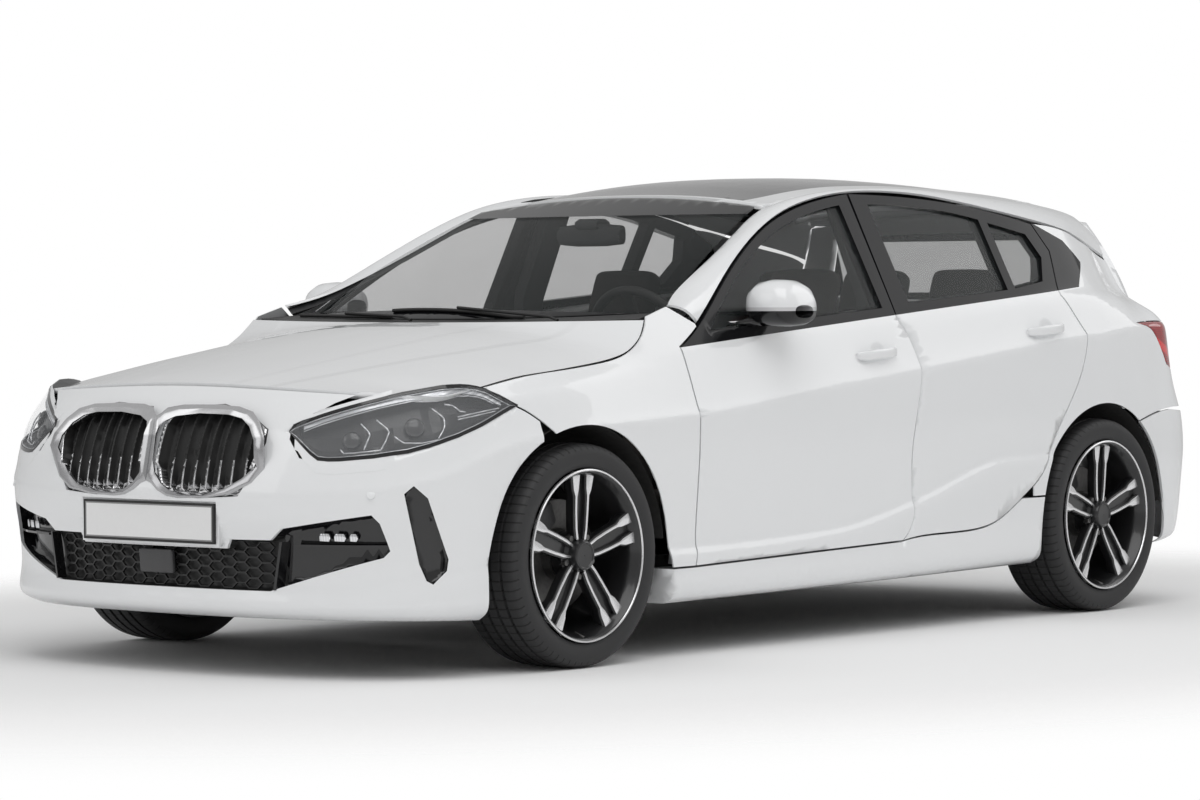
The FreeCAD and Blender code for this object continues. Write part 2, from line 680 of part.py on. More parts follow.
WINDSCREEN_BASE_SHARES = (1.136, 1.213, 0.778, 0.686, 0.700)
WINDSCREEN_TOP_SHARES = (1.460, 1.4505, 0.622, 0.948, 0.922)


def bowed(shares, u):
    """Point of a bowed cross line given by its centre and side stations, breadth and heights."""
    centre_station, side_station, breadth, centre_height, side_height = shares
    station = centre_station + (side_station - centre_station) * u * u
    height = centre_height + (side_height - centre_height) * u * u
    return vector(x_at(station), HALF_WIDTH * breadth * u, HEIGHT * height)


def screen_point(base, top, u, w, inset=0):
    low, high = bowed(base, u), bowed(top, u)
    lean = high - low
    normal = vector(-lean.z, 0, lean.x).normalize()
    if normal.z < 0:
        normal = normal * -1
    bulge = SCREEN_BULGE * 4 * w * (1 - w)
    return low + lean * w + normal * (bulge - inset)


SCREEN_BULGE = 14.0
SCREEN_GLASS = 5.0


def screen(base, top):
    us, ws = spread(-1, 1, 15), spread(0, 1, 9)
    return slab(
        [[screen_point(base, top, u, w) for w in ws] for u in us],
        [[screen_point(base, top, u, w, SCREEN_GLASS) for w in ws] for u in us],
    )


ROOF_CENTRE_SHARES = [
    (1.46, 0.9505), (1.50, 0.962), (1.56, 0.981), (1.65, 0.996), (1.745, 1.0), (1.84, 0.996),
    (1.95, 0.985), (2.21, 0.964), (2.53, 0.938),
]
ROOF_CROWN_SHARES = [(1.46, 0.026), (1.56, 0.034), (1.7, 0.036), (2.0, 0.034), (2.5, 0.032)]
ROOF_EDGE_SHARE = 0.632
ROOF_SPAN_SHARES = (1.466, 2.26)
ROOF_DEPTH = 16.0
ROOF_SIDE_SHARE = 0.99
ROOF_CROWN_POWER = 2.4
ROOF_LINING_SHARE = 0.995


def roof_point(station, u, drop=0):
    height = fair(ROOF_CENTRE_SHARES, station) - fair(ROOF_CROWN_SHARES, station) * abs(u) ** ROOF_CROWN_POWER
    return vector(x_at(station), HALF_WIDTH * ROOF_EDGE_SHARE * u, HEIGHT * height - drop)


def roof_panel():
    us = spread(-ROOF_SIDE_SHARE, ROOF_SIDE_SHARE, 19)
    stations = spread(ROOF_SPAN_SHARES[0], 2, 16) + spread(2, ROOF_SPAN_SHARES[1], 8)[1:]
    return slab(
        [[roof_point(s, u) for s in stations] for u in us],
        [[roof_point(s, u * ROOF_LINING_SHARE, ROOF_DEPTH) for s in stations] for u in us],
    )


# The A-pillar and cantrail cover: window line station and height, then roof line station, breadth, height
PILLAR_SHARES = [
    (1.226, 0.680, 1.190, 0.864, 0.7145), (1.262, 0.722, 1.222, 0.800, 0.731), (1.295, 0.766, 1.255, 0.765, 0.755),
    (1.359, 0.838, 1.330, 0.720, 0.814), (1.426, 0.897, 1.400, 0.675, 0.875), (1.492, 0.935, 1.455, 0.640, 0.926),
    (1.587, 0.963, 1.560, 0.640, 0.950), (1.700, 0.962, 1.700, 0.640, 0.965), (1.786, 0.946, 1.820, 0.640, 0.962),
    (1.940, 0.903, 1.960, 0.640, 0.951), (2.060, 0.880, 2.090, 0.638, 0.939), (2.200, 0.860, 2.220, 0.640, 0.930),
    (2.350, 0.844, 2.350, 0.630, 0.920), (2.480, 0.822, 2.480, 0.590, 0.909),
]
PILLAR_STEPS = spread(0, 1, 5)
RAIL_STEPS = spread(0.60, 0.85, 4)
RAIL_COVER_SINK = 9.6
RAIL_SINK = 27.0
PILLAR_BULGE = 12.0
PILLAR_COVER = 6.0


def pillar_rows(shares, steps, sink=0):
    """Rows of points across the A-pillar and cantrail cover, sunk inwards by an amount."""
    rows = []
    for station, height, top_station, breadth, top_height in shares:
        low = vector(x_at(station), side_y(station, HEIGHT * height), HEIGHT * height)
        high = vector(x_at(top_station), HALF_WIDTH * breadth, HEIGHT * top_height)
        row = []
        for t in steps:
            bulge = 4 * t * (1 - t) * PILLAR_BULGE - sink
            row.append(low + (high - low) * t + vector(0, bulge, bulge))
        rows.append(row)
    return rows


def pillar_cover():
    outer = pillar_rows(PILLAR_SHARES, PILLAR_STEPS)
    cover = slab(outer, pillar_rows(PILLAR_SHARES, PILLAR_STEPS, PILLAR_COVER))
    return solids(cover.cut(gate_space()).cut(sweep_room(GATE_SWEEP_SHARES)))


def pillar_rail():
    """Inner rail of the A-pillar, roof side and C-pillar, which carries roof and screen."""
    shares = PILLAR_SHARES[:-2]
    return slab(pillar_rows(shares, RAIL_STEPS, RAIL_COVER_SINK), pillar_rows(shares, RAIL_STEPS, RAIL_SINK))


B_PILLAR_STATIONS = (1.583, 1.622)
# Breadth and height shares around the B-pillar's section, outer side first
B_PILLAR_SHARES = [
    (0.822, 0.16), (0.822, 0.21), (0.834, 0.25), (0.834, 0.45), (0.808, 0.60), (0.808, 0.735), (0.675, 0.932),
    (0.656, 0.946), (0.632, 0.946), (0.628, 0.928), (0.765, 0.722), (0.765, 0.60), (0.785, 0.45), (0.785, 0.16),
]


def body_frame():
    """Inner rail with the B-pillar on one side."""
    rear, front = x_at(B_PILLAR_STATIONS[1]), x_at(B_PILLAR_STATIONS[0])
    pillar = front_cutter(B_PILLAR_SHARES, rear, front)
    cabin = front_cutter(ROCKER_SHARES, rear - OVERRUN, front + OVERRUN, SEAT_GAP)
    return pillar_rail().fuse(pillar.cut(cabin))


# Breadth and height shares around the inner sill
ROCKER_SHARES = [(0.770, 0.140), (0.822, 0.140), (0.822, 0.20), (0.770, 0.20)]
ROCKER_SPAN_SHARES = (1.20, 1.845)
JACK_STATIONS = (1.24, 1.80)
JACK_PAD = (70.0, 40.0, 40.0)


REAR_BUMPER_TOP_ROW = 6.15
TAIL_CORNER_STATION = 2.70
BUMPER_START_STATION = 2.22


def rear_bumper():
    stations = spread(BUMPER_START_STATION, 6 - BUMPER_START_STATION, 45)
    rows = [i / 2 for i in range(0, 13)] + [REAR_BUMPER_TOP_ROW]
    shell = slab(skin_grid(stations, rows), skin_grid(stations, rows, BUMPER_SHELL))
    side = side_cutter(REAR_QUARTER_SHARES, PANEL_GAP / 2)
    arch = arch_cutter(REAR_AXLE_X)
    for cutter in (side, mirrored(side), arch, mirrored(arch)):
        shell = shell.cut(cutter)
    return solids(shell)


REAR_SCREEN_BASE_SHARES = (2.668, 2.56, 0.735, 0.700, 0.722)
REAR_SCREEN_TOP_SHARES = (2.535, 2.49, 0.615, 0.905, 0.885)
TAILGATE_DEPTH = 45.0
GATE_PROUD = 2.0
GATE_FRAME_SHARE = 0.7
GATE_BREADTH_SHARE = 1.06
GATE_RISE_SHARES = (-0.06, 1.12)
GATE_GAP_SHARE = 0.014
GATE_WINDOW_SHARE = 0.9
GATE_WINDOW_RISE_SHARES = (0.07, 0.91)
GATE_LOW_GAP_ROWS = 0.12


def gate_slab(breadth, low, high, outside, inside):
    """Slab parallel to the rear window, over shares of its breadth and rise and between two depths."""
    base, top = REAR_SCREEN_BASE_SHARES, REAR_SCREEN_TOP_SHARES
    us, ws = spread(-breadth, breadth, 15), spread(low, high, 9)
    return slab(
        [[screen_point(base, top, u, w, outside) for w in ws] for u in us],
        [[screen_point(base, top, u, w, inside) for w in ws] for u in us],
    )


def gate_space():
    """Room that the window frame of the tailgate takes, with its gap, on the left side."""
    low, high = GATE_RISE_SHARES
    inside = TAILGATE_DEPTH * GATE_FRAME_SHARE + PANEL_GAP
    breadth = GATE_BREADTH_SHARE + GATE_GAP_SHARE
    return gate_slab(breadth, low - GATE_GAP_SHARE, high + GATE_GAP_SHARE, -OVERRUN, inside)


def tailgate():
    stations = spread(TAIL_CORNER_STATION, 6 - TAIL_CORNER_STATION, 25)
    rows = [REAR_BUMPER_TOP_ROW + GATE_LOW_GAP_ROWS] + [i / 2 for i in range(13, 2 * BELT_ROW + 1)]
    lower = slab(skin_grid(stations, rows), skin_grid(stations, rows, TAILGATE_DEPTH))
    low, high = GATE_RISE_SHARES
    frame = gate_slab(GATE_BREADTH_SHARE, low, high, -GATE_PROUD, TAILGATE_DEPTH * GATE_FRAME_SHARE)
    gate = lower.fuse(frame).fuse(spoiler())
    low, high = GATE_WINDOW_RISE_SHARES
    gate = gate.cut(gate_slab(GATE_WINDOW_SHARE, low, high, -OVERRUN, OVERRUN))
    return solids(gate.cut(gate_lamp(SEAT_GAP)).cut(mirrored(gate_lamp(SEAT_GAP))))


SPOILER_TIP_STATION = 2.60
SPOILER_GAP_SHARE = 0.013
SPOILER_SIDE_SHARE = 0.98
SPOILER_SWEEP_SHARE = 0.09
SPOILER_TAPER_SHARE = 0.12
SPOILER_ROOT_DEPTH = 32.0
SPOILER_TIP_DEPTH = 14.0


def spoiler_point(u, t, drop):
    """A point of the spoiler, which carries the roof on, narrows and sweeps forwards at its sides."""
    root = ROOF_SPAN_SHARES[1] + SPOILER_GAP_SHARE
    tip = SPOILER_TIP_STATION - SPOILER_SWEEP_SHARE * u * u
    point = roof_point(root + (tip - root) * t, u, drop)
    return vector(point.x, point.y * (1 - SPOILER_TAPER_SHARE * t * t), point.z)


def spoiler():
    us, ts = spread(-SPOILER_SIDE_SHARE, SPOILER_SIDE_SHARE, 19), spread(0, 1, 9)
    depths = [(0, SPOILER_ROOT_DEPTH), (1, SPOILER_TIP_DEPTH)]
    return slab(
        [[spoiler_point(u, t, 0) for t in ts] for u in us],
        [[spoiler_point(u, t, fair(depths, t)) for t in ts] for u in us],
    )


REAR_GLASS_SHARE = 0.885
REAR_GLASS_RISE_SHARES = (0.08, 0.90)


def rear_glass():
    low, high = REAR_GLASS_RISE_SHARES
    return gate_slab(REAR_GLASS_SHARE, low, high, GLASS, GLASS * 2)


# Breadth and radius shares round the tyre's section
TYRE_PROFILE_SHARES = [
    (-0.46, 0.782), (-0.5, 0.83), (-0.49, 0.92), (-0.42, 0.985), (-0.30, 1.0),
    (0.30, 1.0), (0.42, 0.985), (0.49, 0.92), (0.5, 0.83), (0.46, 0.782),
]
TYRE_FACETS = 56


def ring(points, centre):
    """Solid of revolution about a wheel axis from (offset along Y, radius) points."""
    outline = [centre + vector(0, y, r) for y, r in points]
    face = Part.Face(Part.makePolygon(outline + outline[:1]))
    return face.revolve(centre, vector(0, 1, 0), 360)


def tyre(centre):
    """The tyre as flat facets round its axle, with a corner straight below it on the ground."""
    hoops = []
    for b, r in TYRE_PROFILE_SHARES:
        angles = [2 * math.pi * i / TYRE_FACETS for i in range(TYRE_FACETS)]
        radius = TYRE_RADIUS * r
        hoops.append([centre + vector(radius * math.sin(a), TYRE_WIDTH * b, -radius * math.cos(a)) for a in angles])
    faces = []
    for hoop, after in zip(hoops, hoops[1:] + hoops[:1]):
        for i in range(TYRE_FACETS):
            corners = [hoop[i - 1], hoop[i], after[i], after[i - 1]]
            faces.append(Part.Face(Part.makePolygon(corners + corners[:1])))
    return closed(faces)


HUB_RADIUS = 75.0
RIM_WALL = 12.0
SPOKE_COUNT = 5
SPOKE_WIDTH = 34.0
SPOKE_SPREAD = 13.0
RIM_SEAT_SHARE = 0.8
HUB_SPAN_SHARES = (0.10, 0.62)
SPOKE_SPAN_SHARES = (0.45, 0.85)
SPOKE_START_SHARE = 0.6


def rim(centre):
    """Barrel, hub and five pairs of spokes."""
    half = RIM_WIDTH / 2
    outer = RIM_RADIUS
    seat = RIM_RADIUS - RIM_WALL
    well = seat - RIM_WALL
    flat = half * RIM_SEAT_SHARE
    wheel = ring([(-half, outer), (half, outer), (half, seat), (flat, well), (-flat, well), (-half, seat)], centre)
    first, last = HUB_SPAN_SHARES
    start = centre + vector(0, half * first, 0)
    wheel = wheel.fuse(cylinder(start, vector(0, 1, 0), HUB_RADIUS, half * (last - first)))
    inner, face = SPOKE_SPAN_SHARES
    for i in range(SPOKE_COUNT):
        for offset in (-SPOKE_SPREAD, SPOKE_SPREAD):
            spoke = box(
                -SPOKE_WIDTH / 2, SPOKE_WIDTH / 2, half * inner, half * face,
                HUB_RADIUS * SPOKE_START_SHARE, seat - RIM_WALL / 2,
            )
            spoke.rotate(vector(0, 0, 0), vector(0, 1, 0), offset + i * 360 / SPOKE_COUNT)
            spoke.translate(centre)
            wheel = wheel.fuse(spoke)
    return wheel


def tray(cutter, setback):
    """A tray behind an opening of the nose: walls from the shell inwards and a plate across their back."""
    lip = nose_sheet(BUMPER_SHELL + SHELL_GAP, setback + GRILLE_PLATE)
    walls = lip.common(cutter(TRAY_LIP)).cut(cutter(-SEAT_GAP))
    plate = nose_sheet(setback, setback + GRILLE_PLATE).common(cutter(TRAY_LIP))
    return walls.fuse(plate)


SHELL_GAP = 0.8
TRAY_LIP = 5.0
GRILLE_SETBACK = 34.0
KIDNEY_PROUD = 4.0
GRILLE_PLATE = 5.0
SLAT_COUNT = 7
SLAT_WIDTH = 7.0
SLAT_DEPTH = 22.0
FRAME_WIDTH = 13.0


KIDNEY_STATIONS = (0.005, 0.40)


def kidney_grille():
    """One kidney: a bright rim seated in the nose, upright slats and a dark back plate."""
    back = x_at(FRONT_CORNER_STATION)
    front = NOSE_X + OVERRUN
    stations = spread(*KIDNEY_STATIONS, 13)
    rows = [i / 2 for i in range(8, 2 * BELT_ROW)] + [BUMPER_TOP_ROW]
    band = slab(skin_grid(stations, rows, -KIDNEY_PROUD), skin_grid(stations, rows, GRILLE_SETBACK))
    rim = band.common(front_cutter(KIDNEY_SHARES, back, front, -SEAT_GAP))
    inner = front_cutter(KIDNEY_SHARES, back, front, -FRAME_WIDTH)
    rim = rim.cut(inner)
    plate = slab(
        skin_grid(stations, rows, GRILLE_SETBACK), skin_grid(stations, rows, GRILLE_SETBACK + GRILLE_PLATE)
    ).common(front_cutter(KIDNEY_SHARES, back, front, -SEAT_GAP))
    low = min(h for b, h in KIDNEY_SHARES) * HEIGHT
    high = max(h for b, h in KIDNEY_SHARES) * HEIGHT
    left = min(b for b, h in KIDNEY_SHARES) * HALF_WIDTH + FRAME_WIDTH
    right = max(b for b, h in KIDNEY_SHARES) * HALF_WIDTH - FRAME_WIDTH
    slats = slab(
        skin_grid(stations, rows, GRILLE_SETBACK - SLAT_DEPTH),
        skin_grid(stations, rows, GRILLE_SETBACK + GRILLE_PLATE / 2),
    )
    bars = []
    for y in spread(left, right, SLAT_COUNT + 2)[1:-1]:
        bars.append(box(back, front, y - SLAT_WIDTH / 2, y + SLAT_WIDTH / 2, low, high))
    grid = slats.common(Part.makeCompound(bars)).common(front_cutter(KIDNEY_SHARES, back, front, -FRAME_WIDTH / 2))
    grille = rim.fuse(plate)
    for bar in grid.Solids:
        grille = grille.fuse(bar)
    return solids(grille)


INTAKE_SETBACK = 40.0
SLOT_SETBACK = 24.0


def intake_cutter(growth):
    return front_cutter(INTAKE_SHARES, x_at(FRONT_CORNER_STATION), NOSE_X + OVERRUN, growth)


def slot_cutter(growth):
    return corner_cutter(SLOT_SHARES, growth)


def lower_grille():
    """Trays behind the intake and behind the two upright corner slots."""
    slot = tray(slot_cutter, SLOT_SETBACK)
    intake = tray(intake_cutter, INTAKE_SETBACK).cut(slot_cutter(TRAY_LIP + SHELL_GAP))
    intake = intake.cut(mirrored(slot_cutter(TRAY_LIP + SHELL_GAP)))
    return solids(Part.makeCompound([intake, slot, mirrored(slot)]))


PLATE_LENGTH = 520.0
PLATE_HEIGHT = 112.0
PLATE_THICKNESS = 8.0
PLATE_CENTRE_SHARE = 0.297


def plate_face():
    """Centre of the flat face that the front plate lies on."""
    return vector(NOSE_X - PLATE_SETBACK, 0, HEIGHT * PLATE_CENTRE_SHARE)


def front_plate():
    face = plate_face()
    half = PLATE_LENGTH / 2
    tall = PLATE_HEIGHT / 2
    return box(face.x, face.x + PLATE_THICKNESS, -half, half, face.z - tall, face.z + tall)


PLATE_SETBACK = 19.0
PLATE_BORDER = 6.0
PLINTH_DEPTH = 14.0

FLOOR_SHARES = (0.1220, 0.1639)
FLOOR_TOP = HEIGHT * FLOOR_SHARES[1]
FLOOR_DEPTH = FLOOR_TOP - HEIGHT * FLOOR_SHARES[0]
FLOOR_HALF_SHARE = 0.770
FLOOR_SPAN_SHARES = (1.20, 1.85)
BAY_HALF_SHARE = 0.506
BAY_HALF = HALF_WIDTH * BAY_HALF_SHARE
TUNNEL_HALF = 115.0
TUNNEL_RISE_SHARE = 0.0837
TUNNEL_RISE = HEIGHT * TUNNEL_RISE_SHARE
SHEET = 12.0


def floor_pan():
    """Cabin floor with a centre tunnel, and narrower rails between the wheels front and rear."""
    front, rear = x_at(FLOOR_SPAN_SHARES[0]), x_at(FLOOR_SPAN_SHARES[1])
    half = HALF_WIDTH * FLOOR_HALF_SHARE
    low = FLOOR_TOP - FLOOR_DEPTH
    floor = box(rear, front, -half, half, low, FLOOR_TOP)
    tunnel = box(rear, front, -TUNNEL_HALF, TUNNEL_HALF, FLOOR_TOP, FLOOR_TOP + TUNNEL_RISE)
    inside = TUNNEL_HALF - SHEET
    hollow = box(rear - SHEET, front + SHEET, -inside, inside, low - SHEET, FLOOR_TOP + TUNNEL_RISE - SHEET)
    pan = floor.fuse(tunnel).cut(hollow)
    rocker = front_cutter(ROCKER_SHARES, x_at(ROCKER_SPAN_SHARES[1]), x_at(ROCKER_SPAN_SHARES[0]))
    pad_length, pad_width, pad_height = JACK_PAD
    foot = ROCKER_SHARES[0][1] * HEIGHT
    y = HALF_WIDTH * (ROCKER_SHARES[0][0] + ROCKER_SHARES[1][0]) / 2
    for station in JACK_STATIONS:
        x, half = x_at(station), pad_length / 2
        pad = box(x - half, x + half, y - pad_width / 2, y + pad_width / 2, foot - pad_height, foot)
        rocker = rocker.fuse(pad)
    return pan.fuse(rocker).fuse(mirrored(rocker))


def tunnel_space():
    """The centre tunnel's outside, with a small gap, for parts that sit over it."""
    half = TUNNEL_HALF + SEAT_GAP
    front, rear = x_at(FLOOR_SPAN_SHARES[0]) + OVERRUN, x_at(FLOOR_SPAN_SHARES[1]) - SEAT_GAP
    return box(rear, front, -half, half, 0, FLOOR_TOP + TUNNEL_RISE + SEAT_GAP)


RAIL_HEIGHT = 110.0
RAIL_WIDTH = 60.0
BEAM_STATION = 0.22


def front_rails():
    """Two rails from the bumper beam to the floor, joined by the beam behind the bumper."""
    rear = x_at(FLOOR_SPAN_SHARES[0])
    front = x_at(BEAM_STATION)
    z = FLOOR_TOP + FLOOR_DEPTH
    rails = []
    for side in (-1, 1):
        y = side * (BAY_HALF - RAIL_WIDTH / 2)
        rails.append(box(rear, front, y - RAIL_WIDTH / 2, y + RAIL_WIDTH / 2, z, z + RAIL_HEIGHT))
    beam = box(front - SHEET, front + RAIL_WIDTH, -BAY_HALF, BAY_HALF, z, z + RAIL_HEIGHT)
    step = box(rear - RAIL_WIDTH, rear, -BAY_HALF, BAY_HALF, FLOOR_TOP + SEAT_GAP, z + RAIL_HEIGHT)
    return rails[0].fuse(rails[1]).fuse(beam).fuse(step.cut(tunnel_space()))


ENGINE_LENGTH = 420.0
ENGINE_WIDTH = 620.0
ENGINE_HEIGHT_SHARE = 0.335
ENGINE_LOW_SHARE = 0.150
ENGINE_HEIGHT = HEIGHT * ENGINE_HEIGHT_SHARE
ENGINE_LOW = HEIGHT * ENGINE_LOW_SHARE
ENGINE_X_STATION = 0.74


def engine_block():
    x = x_at(ENGINE_X_STATION)
    return box(
        x - ENGINE_LENGTH / 2, x + ENGINE_LENGTH / 2, -ENGINE_WIDTH / 2, ENGINE_WIDTH / 2,
        ENGINE_LOW, ENGINE_LOW + ENGINE_HEIGHT,
    )


SEAT_WIDTH = 500.0
SEAT_Y = 370.0
CUSHION_LENGTH = 520.0
CUSHION_DEPTH_SHARE = 0.1046
CUSHION_LOW_SHARE = 0.2022
BACK_HEIGHT_SHARE = 0.4184
CUSHION_DEPTH = HEIGHT * CUSHION_DEPTH_SHARE
CUSHION_LOW = HEIGHT * CUSHION_LOW_SHARE
BACK_HEIGHT = HEIGHT * BACK_HEIGHT_SHARE
BACK_DEPTH = 130.0
BACK_LEAN = 20.0
BACK_FOOT_SHARE = 0.4
SEAT_ROUND = 28.0
HEADREST_SIZE = (80.0, 250.0, 170.0)
HEADREST_GAP = 30.0
HEADREST_ROUND = 22.0
POST_HALF_DEPTH = 12.0
POST_HALF_BREADTH = 48.0
POST_SINK = 56.0
BASE_INSETS = (12.0, 48.0)
BASE_HALF_SHARE = 0.36
FRONT_SEAT_STATION = 1.55
REAR_SEAT_STATION = 1.885
REAR_SEAT_WIDTH_SHARE = 0.656
REAR_SEAT_WIDTH = WIDTH * REAR_SEAT_WIDTH_SHARE
REAR_HEADREST_Y = 370.0


def rounded(solid, radius):
    return solid.makeFillet(radius, solid.Edges)


def headrest(offset):
    """A rounded headrest on a broad post, over a seat back that stands upright."""
    depth, breadth, height = HEADREST_SIZE
    middle = BACK_DEPTH / 2
    left, right = offset - POST_HALF_BREADTH, offset + POST_HALF_BREADTH
    low = BACK_HEIGHT + HEADREST_GAP
    front, rear = middle - POST_HALF_DEPTH, middle + POST_HALF_DEPTH
    post = box(front, rear, left, right, BACK_HEIGHT - POST_SINK, low + HEADREST_GAP)
    rest = box(middle - depth / 2, middle + depth / 2, offset - breadth / 2, offset + breadth / 2, low, low + height)
    return post.fuse(rounded(rest, HEADREST_ROUND))


def seat(x, y, width, headrests):
    """Cushion, reclined back and headrests on posts; x is the seat's rear corner."""
    half = width / 2
    cushion = box(x, x + CUSHION_LENGTH, y - half, y + half, CUSHION_LOW, CUSHION_LOW + CUSHION_DEPTH)
    cushion = rounded(cushion, SEAT_ROUND)
    body = rounded(box(0, BACK_DEPTH, -half, half, 0, BACK_HEIGHT), SEAT_ROUND)
    for offset in headrests:
        body = body.fuse(headrest(offset))
    body.rotate(vector(0, 0, 0), vector(0, 1, 0), -BACK_LEAN)
    body.translate(vector(x - BACK_DEPTH * BACK_FOOT_SHARE, y, CUSHION_LOW + CUSHION_DEPTH * BACK_FOOT_SHARE))
    rear_inset, front_inset = BASE_INSETS
    foot = width * BASE_HALF_SHARE
    base = box(
        x + rear_inset, x + CUSHION_LENGTH - front_inset, y - foot, y + foot,
        FLOOR_TOP + SEAT_GAP, CUSHION_LOW + rear_inset,
    )
    return cushion.fuse(body).fuse(base)


def front_seat(side):
    return seat(x_at(FRONT_SEAT_STATION), side * SEAT_Y, SEAT_WIDTH, [0])


def rear_bench():
    bench = seat(x_at(REAR_SEAT_STATION), 0, REAR_SEAT_WIDTH, [-REAR_HEADREST_Y, 0, REAR_HEADREST_Y])
    return bench.cut(tunnel_space())


DASH_TOP_SHARE = 0.655
DASH_FOOT_SHARE = 0.456
DASH_STATIONS = (1.155, 1.30)
DASH_HALF_SHARE = 0.78
DASH_HOOD = 108.0
DASH_EDGE = 72.0
DASH_UNDERCUT = 48.0
BULKHEAD_SET = 24.0


def dashboard():
    """Padded top with a hood over a face that leans back towards the feet."""
    front, rear = x_at(DASH_STATIONS[0]), x_at(DASH_STATIONS[1])
    top, low = HEIGHT * DASH_TOP_SHARE, HEIGHT * DASH_FOOT_SHARE
    half = HALF_WIDTH * DASH_HALF_SHARE
    points = [
        vector(front, -half, low), vector(front, -half, top), vector(rear + DASH_HOOD, -half, top),
        vector(rear, -half, top - DASH_EDGE), vector(rear + DASH_UNDERCUT, -half, low),
    ]
    face = Part.Face(Part.makePolygon(points + points[:1]))
    return face.extrude(vector(0, 2 * half, 0))


def bulkhead():
    """Wall between engine bay and cabin, from the front rails to the windscreen foot."""
    x = x_at(DASH_STATIONS[0]) + BULKHEAD_SET
    half = HALF_WIDTH * DASH_HALF_SHARE
    low = FLOOR_TOP + FLOOR_DEPTH + RAIL_HEIGHT + SEAT_GAP
    return box(x, x + SHEET, -half, half, low, HEIGHT * DASH_TOP_SHARE)


WHEEL_GRIP_RADIUS = 185.0
WHEEL_GRIP_TUBE = 15.0
BOSS_RADIUS = 66.0
BOSS_DEPTH = 36.0
BOSS_SET = 30.0
WHEEL_SPOKE_HALF = 19.0
SHAFT_LENGTH = 75.0
STEERING_TILT = 24.0
STEERING_STATION = 1.335
STEERING_HEIGHT_SHARE = 0.625


def steering_centre():
    return vector(x_at(STEERING_STATION), SEAT_Y, HEIGHT * STEERING_HEIGHT_SHARE)


def steering_axis():
    tilt = math.radians(STEERING_TILT)
    return vector(-math.cos(tilt), 0, math.sin(tilt))


def steering_wheel():
    """Grip ring, three spokes, airbag boss and the end of its shaft."""
    grip = Part.makeTorus(WHEEL_GRIP_RADIUS, WHEEL_GRIP_TUBE)
    boss = Part.makeCylinder(BOSS_RADIUS, BOSS_DEPTH, vector(0, 0, -BOSS_SET))
    wheel = grip.fuse(boss)
    for angle in (0, 180, 270):
        spoke = box(0, WHEEL_GRIP_RADIUS, -WHEEL_SPOKE_HALF, WHEEL_SPOKE_HALF, -WHEEL_GRIP_TUBE, 0)
        spoke.rotate(vector(0, 0, 0), vector(0, 0, 1), angle)
        wheel = wheel.fuse(spoke)
    shaft = Part.makeCylinder(WHEEL_GRIP_TUBE, SHAFT_LENGTH, vector(0, 0, -SHAFT_LENGTH - WHEEL_GRIP_TUBE))
    wheel = wheel.fuse(shaft)
    placement = FreeCAD.Placement(steering_centre(), FreeCAD.Rotation(vector(0, 0, 1), steering_axis()))
    turn = FreeCAD.Placement(vector(0, 0, 0), FreeCAD.Rotation(vector(0, 0, 1), 90))
    wheel.Placement = placement.multiply(turn)
    return wheel


KINGPIN_INSET = 80.0
KINGPIN_LEAN = 14.5
KNUCKLE_RADIUS = 54.0
KNUCKLE_LENGTH = 62.0
STRUT_RADIUS = 22.0
STRUT_TOP = 470.0
DISC_RADIUS = 160.0
DISC_THICKNESS = 24.0
DISC_OFFSET = -26.0
HUB_STUB_RADIUS = 30.0
HUB_FACE_SHARE = 0.10


def wheel_centre(axle_x):
    return vector(axle_x, WHEEL_Y, TYRE_RADIUS)


def hub_carrier(axle_x):
    """Carrier drum and the stub that reaches the wheel's hub face."""
    centre = wheel_centre(axle_x)
    start = WHEEL_Y + DISC_OFFSET - KNUCKLE_LENGTH - PANEL_GAP
    drum = cylinder(vector(centre.x, start, centre.z), vector(0, 1, 0), KNUCKLE_RADIUS, KNUCKLE_LENGTH)
    hub_face = WHEEL_Y + RIM_WIDTH / 2 * HUB_FACE_SHARE
    stub = cylinder(vector(centre.x, start, centre.z), vector(0, 1, 0), HUB_STUB_RADIUS, hub_face - SEAT_GAP - start)
    return drum.fuse(stub)


def kingpin_point(height):
    """Point of the leaning steering axis at a height above the hub."""
    lean = math.tan(math.radians(KINGPIN_LEAN))
    return vector(FRONT_AXLE_X, WHEEL_Y - KINGPIN_INSET - height * lean, TYRE_RADIUS + height)


def kingpin_axis():
    lean = math.radians(KINGPIN_LEAN)
    return vector(0, -math.sin(lean), math.cos(lean))


def front_knuckle():
    """Hub carrier, brake caliper and strut, which turn together as the wheel steers."""
    strut = cylinder(kingpin_point(-KNUCKLE_RADIUS / 2), kingpin_axis(), STRUT_RADIUS, STRUT_TOP)
    return hub_carrier(FRONT_AXLE_X).fuse(strut)


ARM_HEIGHT = 26.0
ARM_LENGTH = 90.0
ARM_SHARE = 0.1367
ARM_Z = HEIGHT * ARM_SHARE
NECK_SHARES = (0.85, 0.6, 2.5)
CROSSMEMBER_HALF = 330.0
CROSSMEMBER_LENGTH = 260.0
REAR_MEMBER_HALF = 429.0
REAR_MEMBER_DEPTH = 52.0
BALL_RADIUS = 16.0


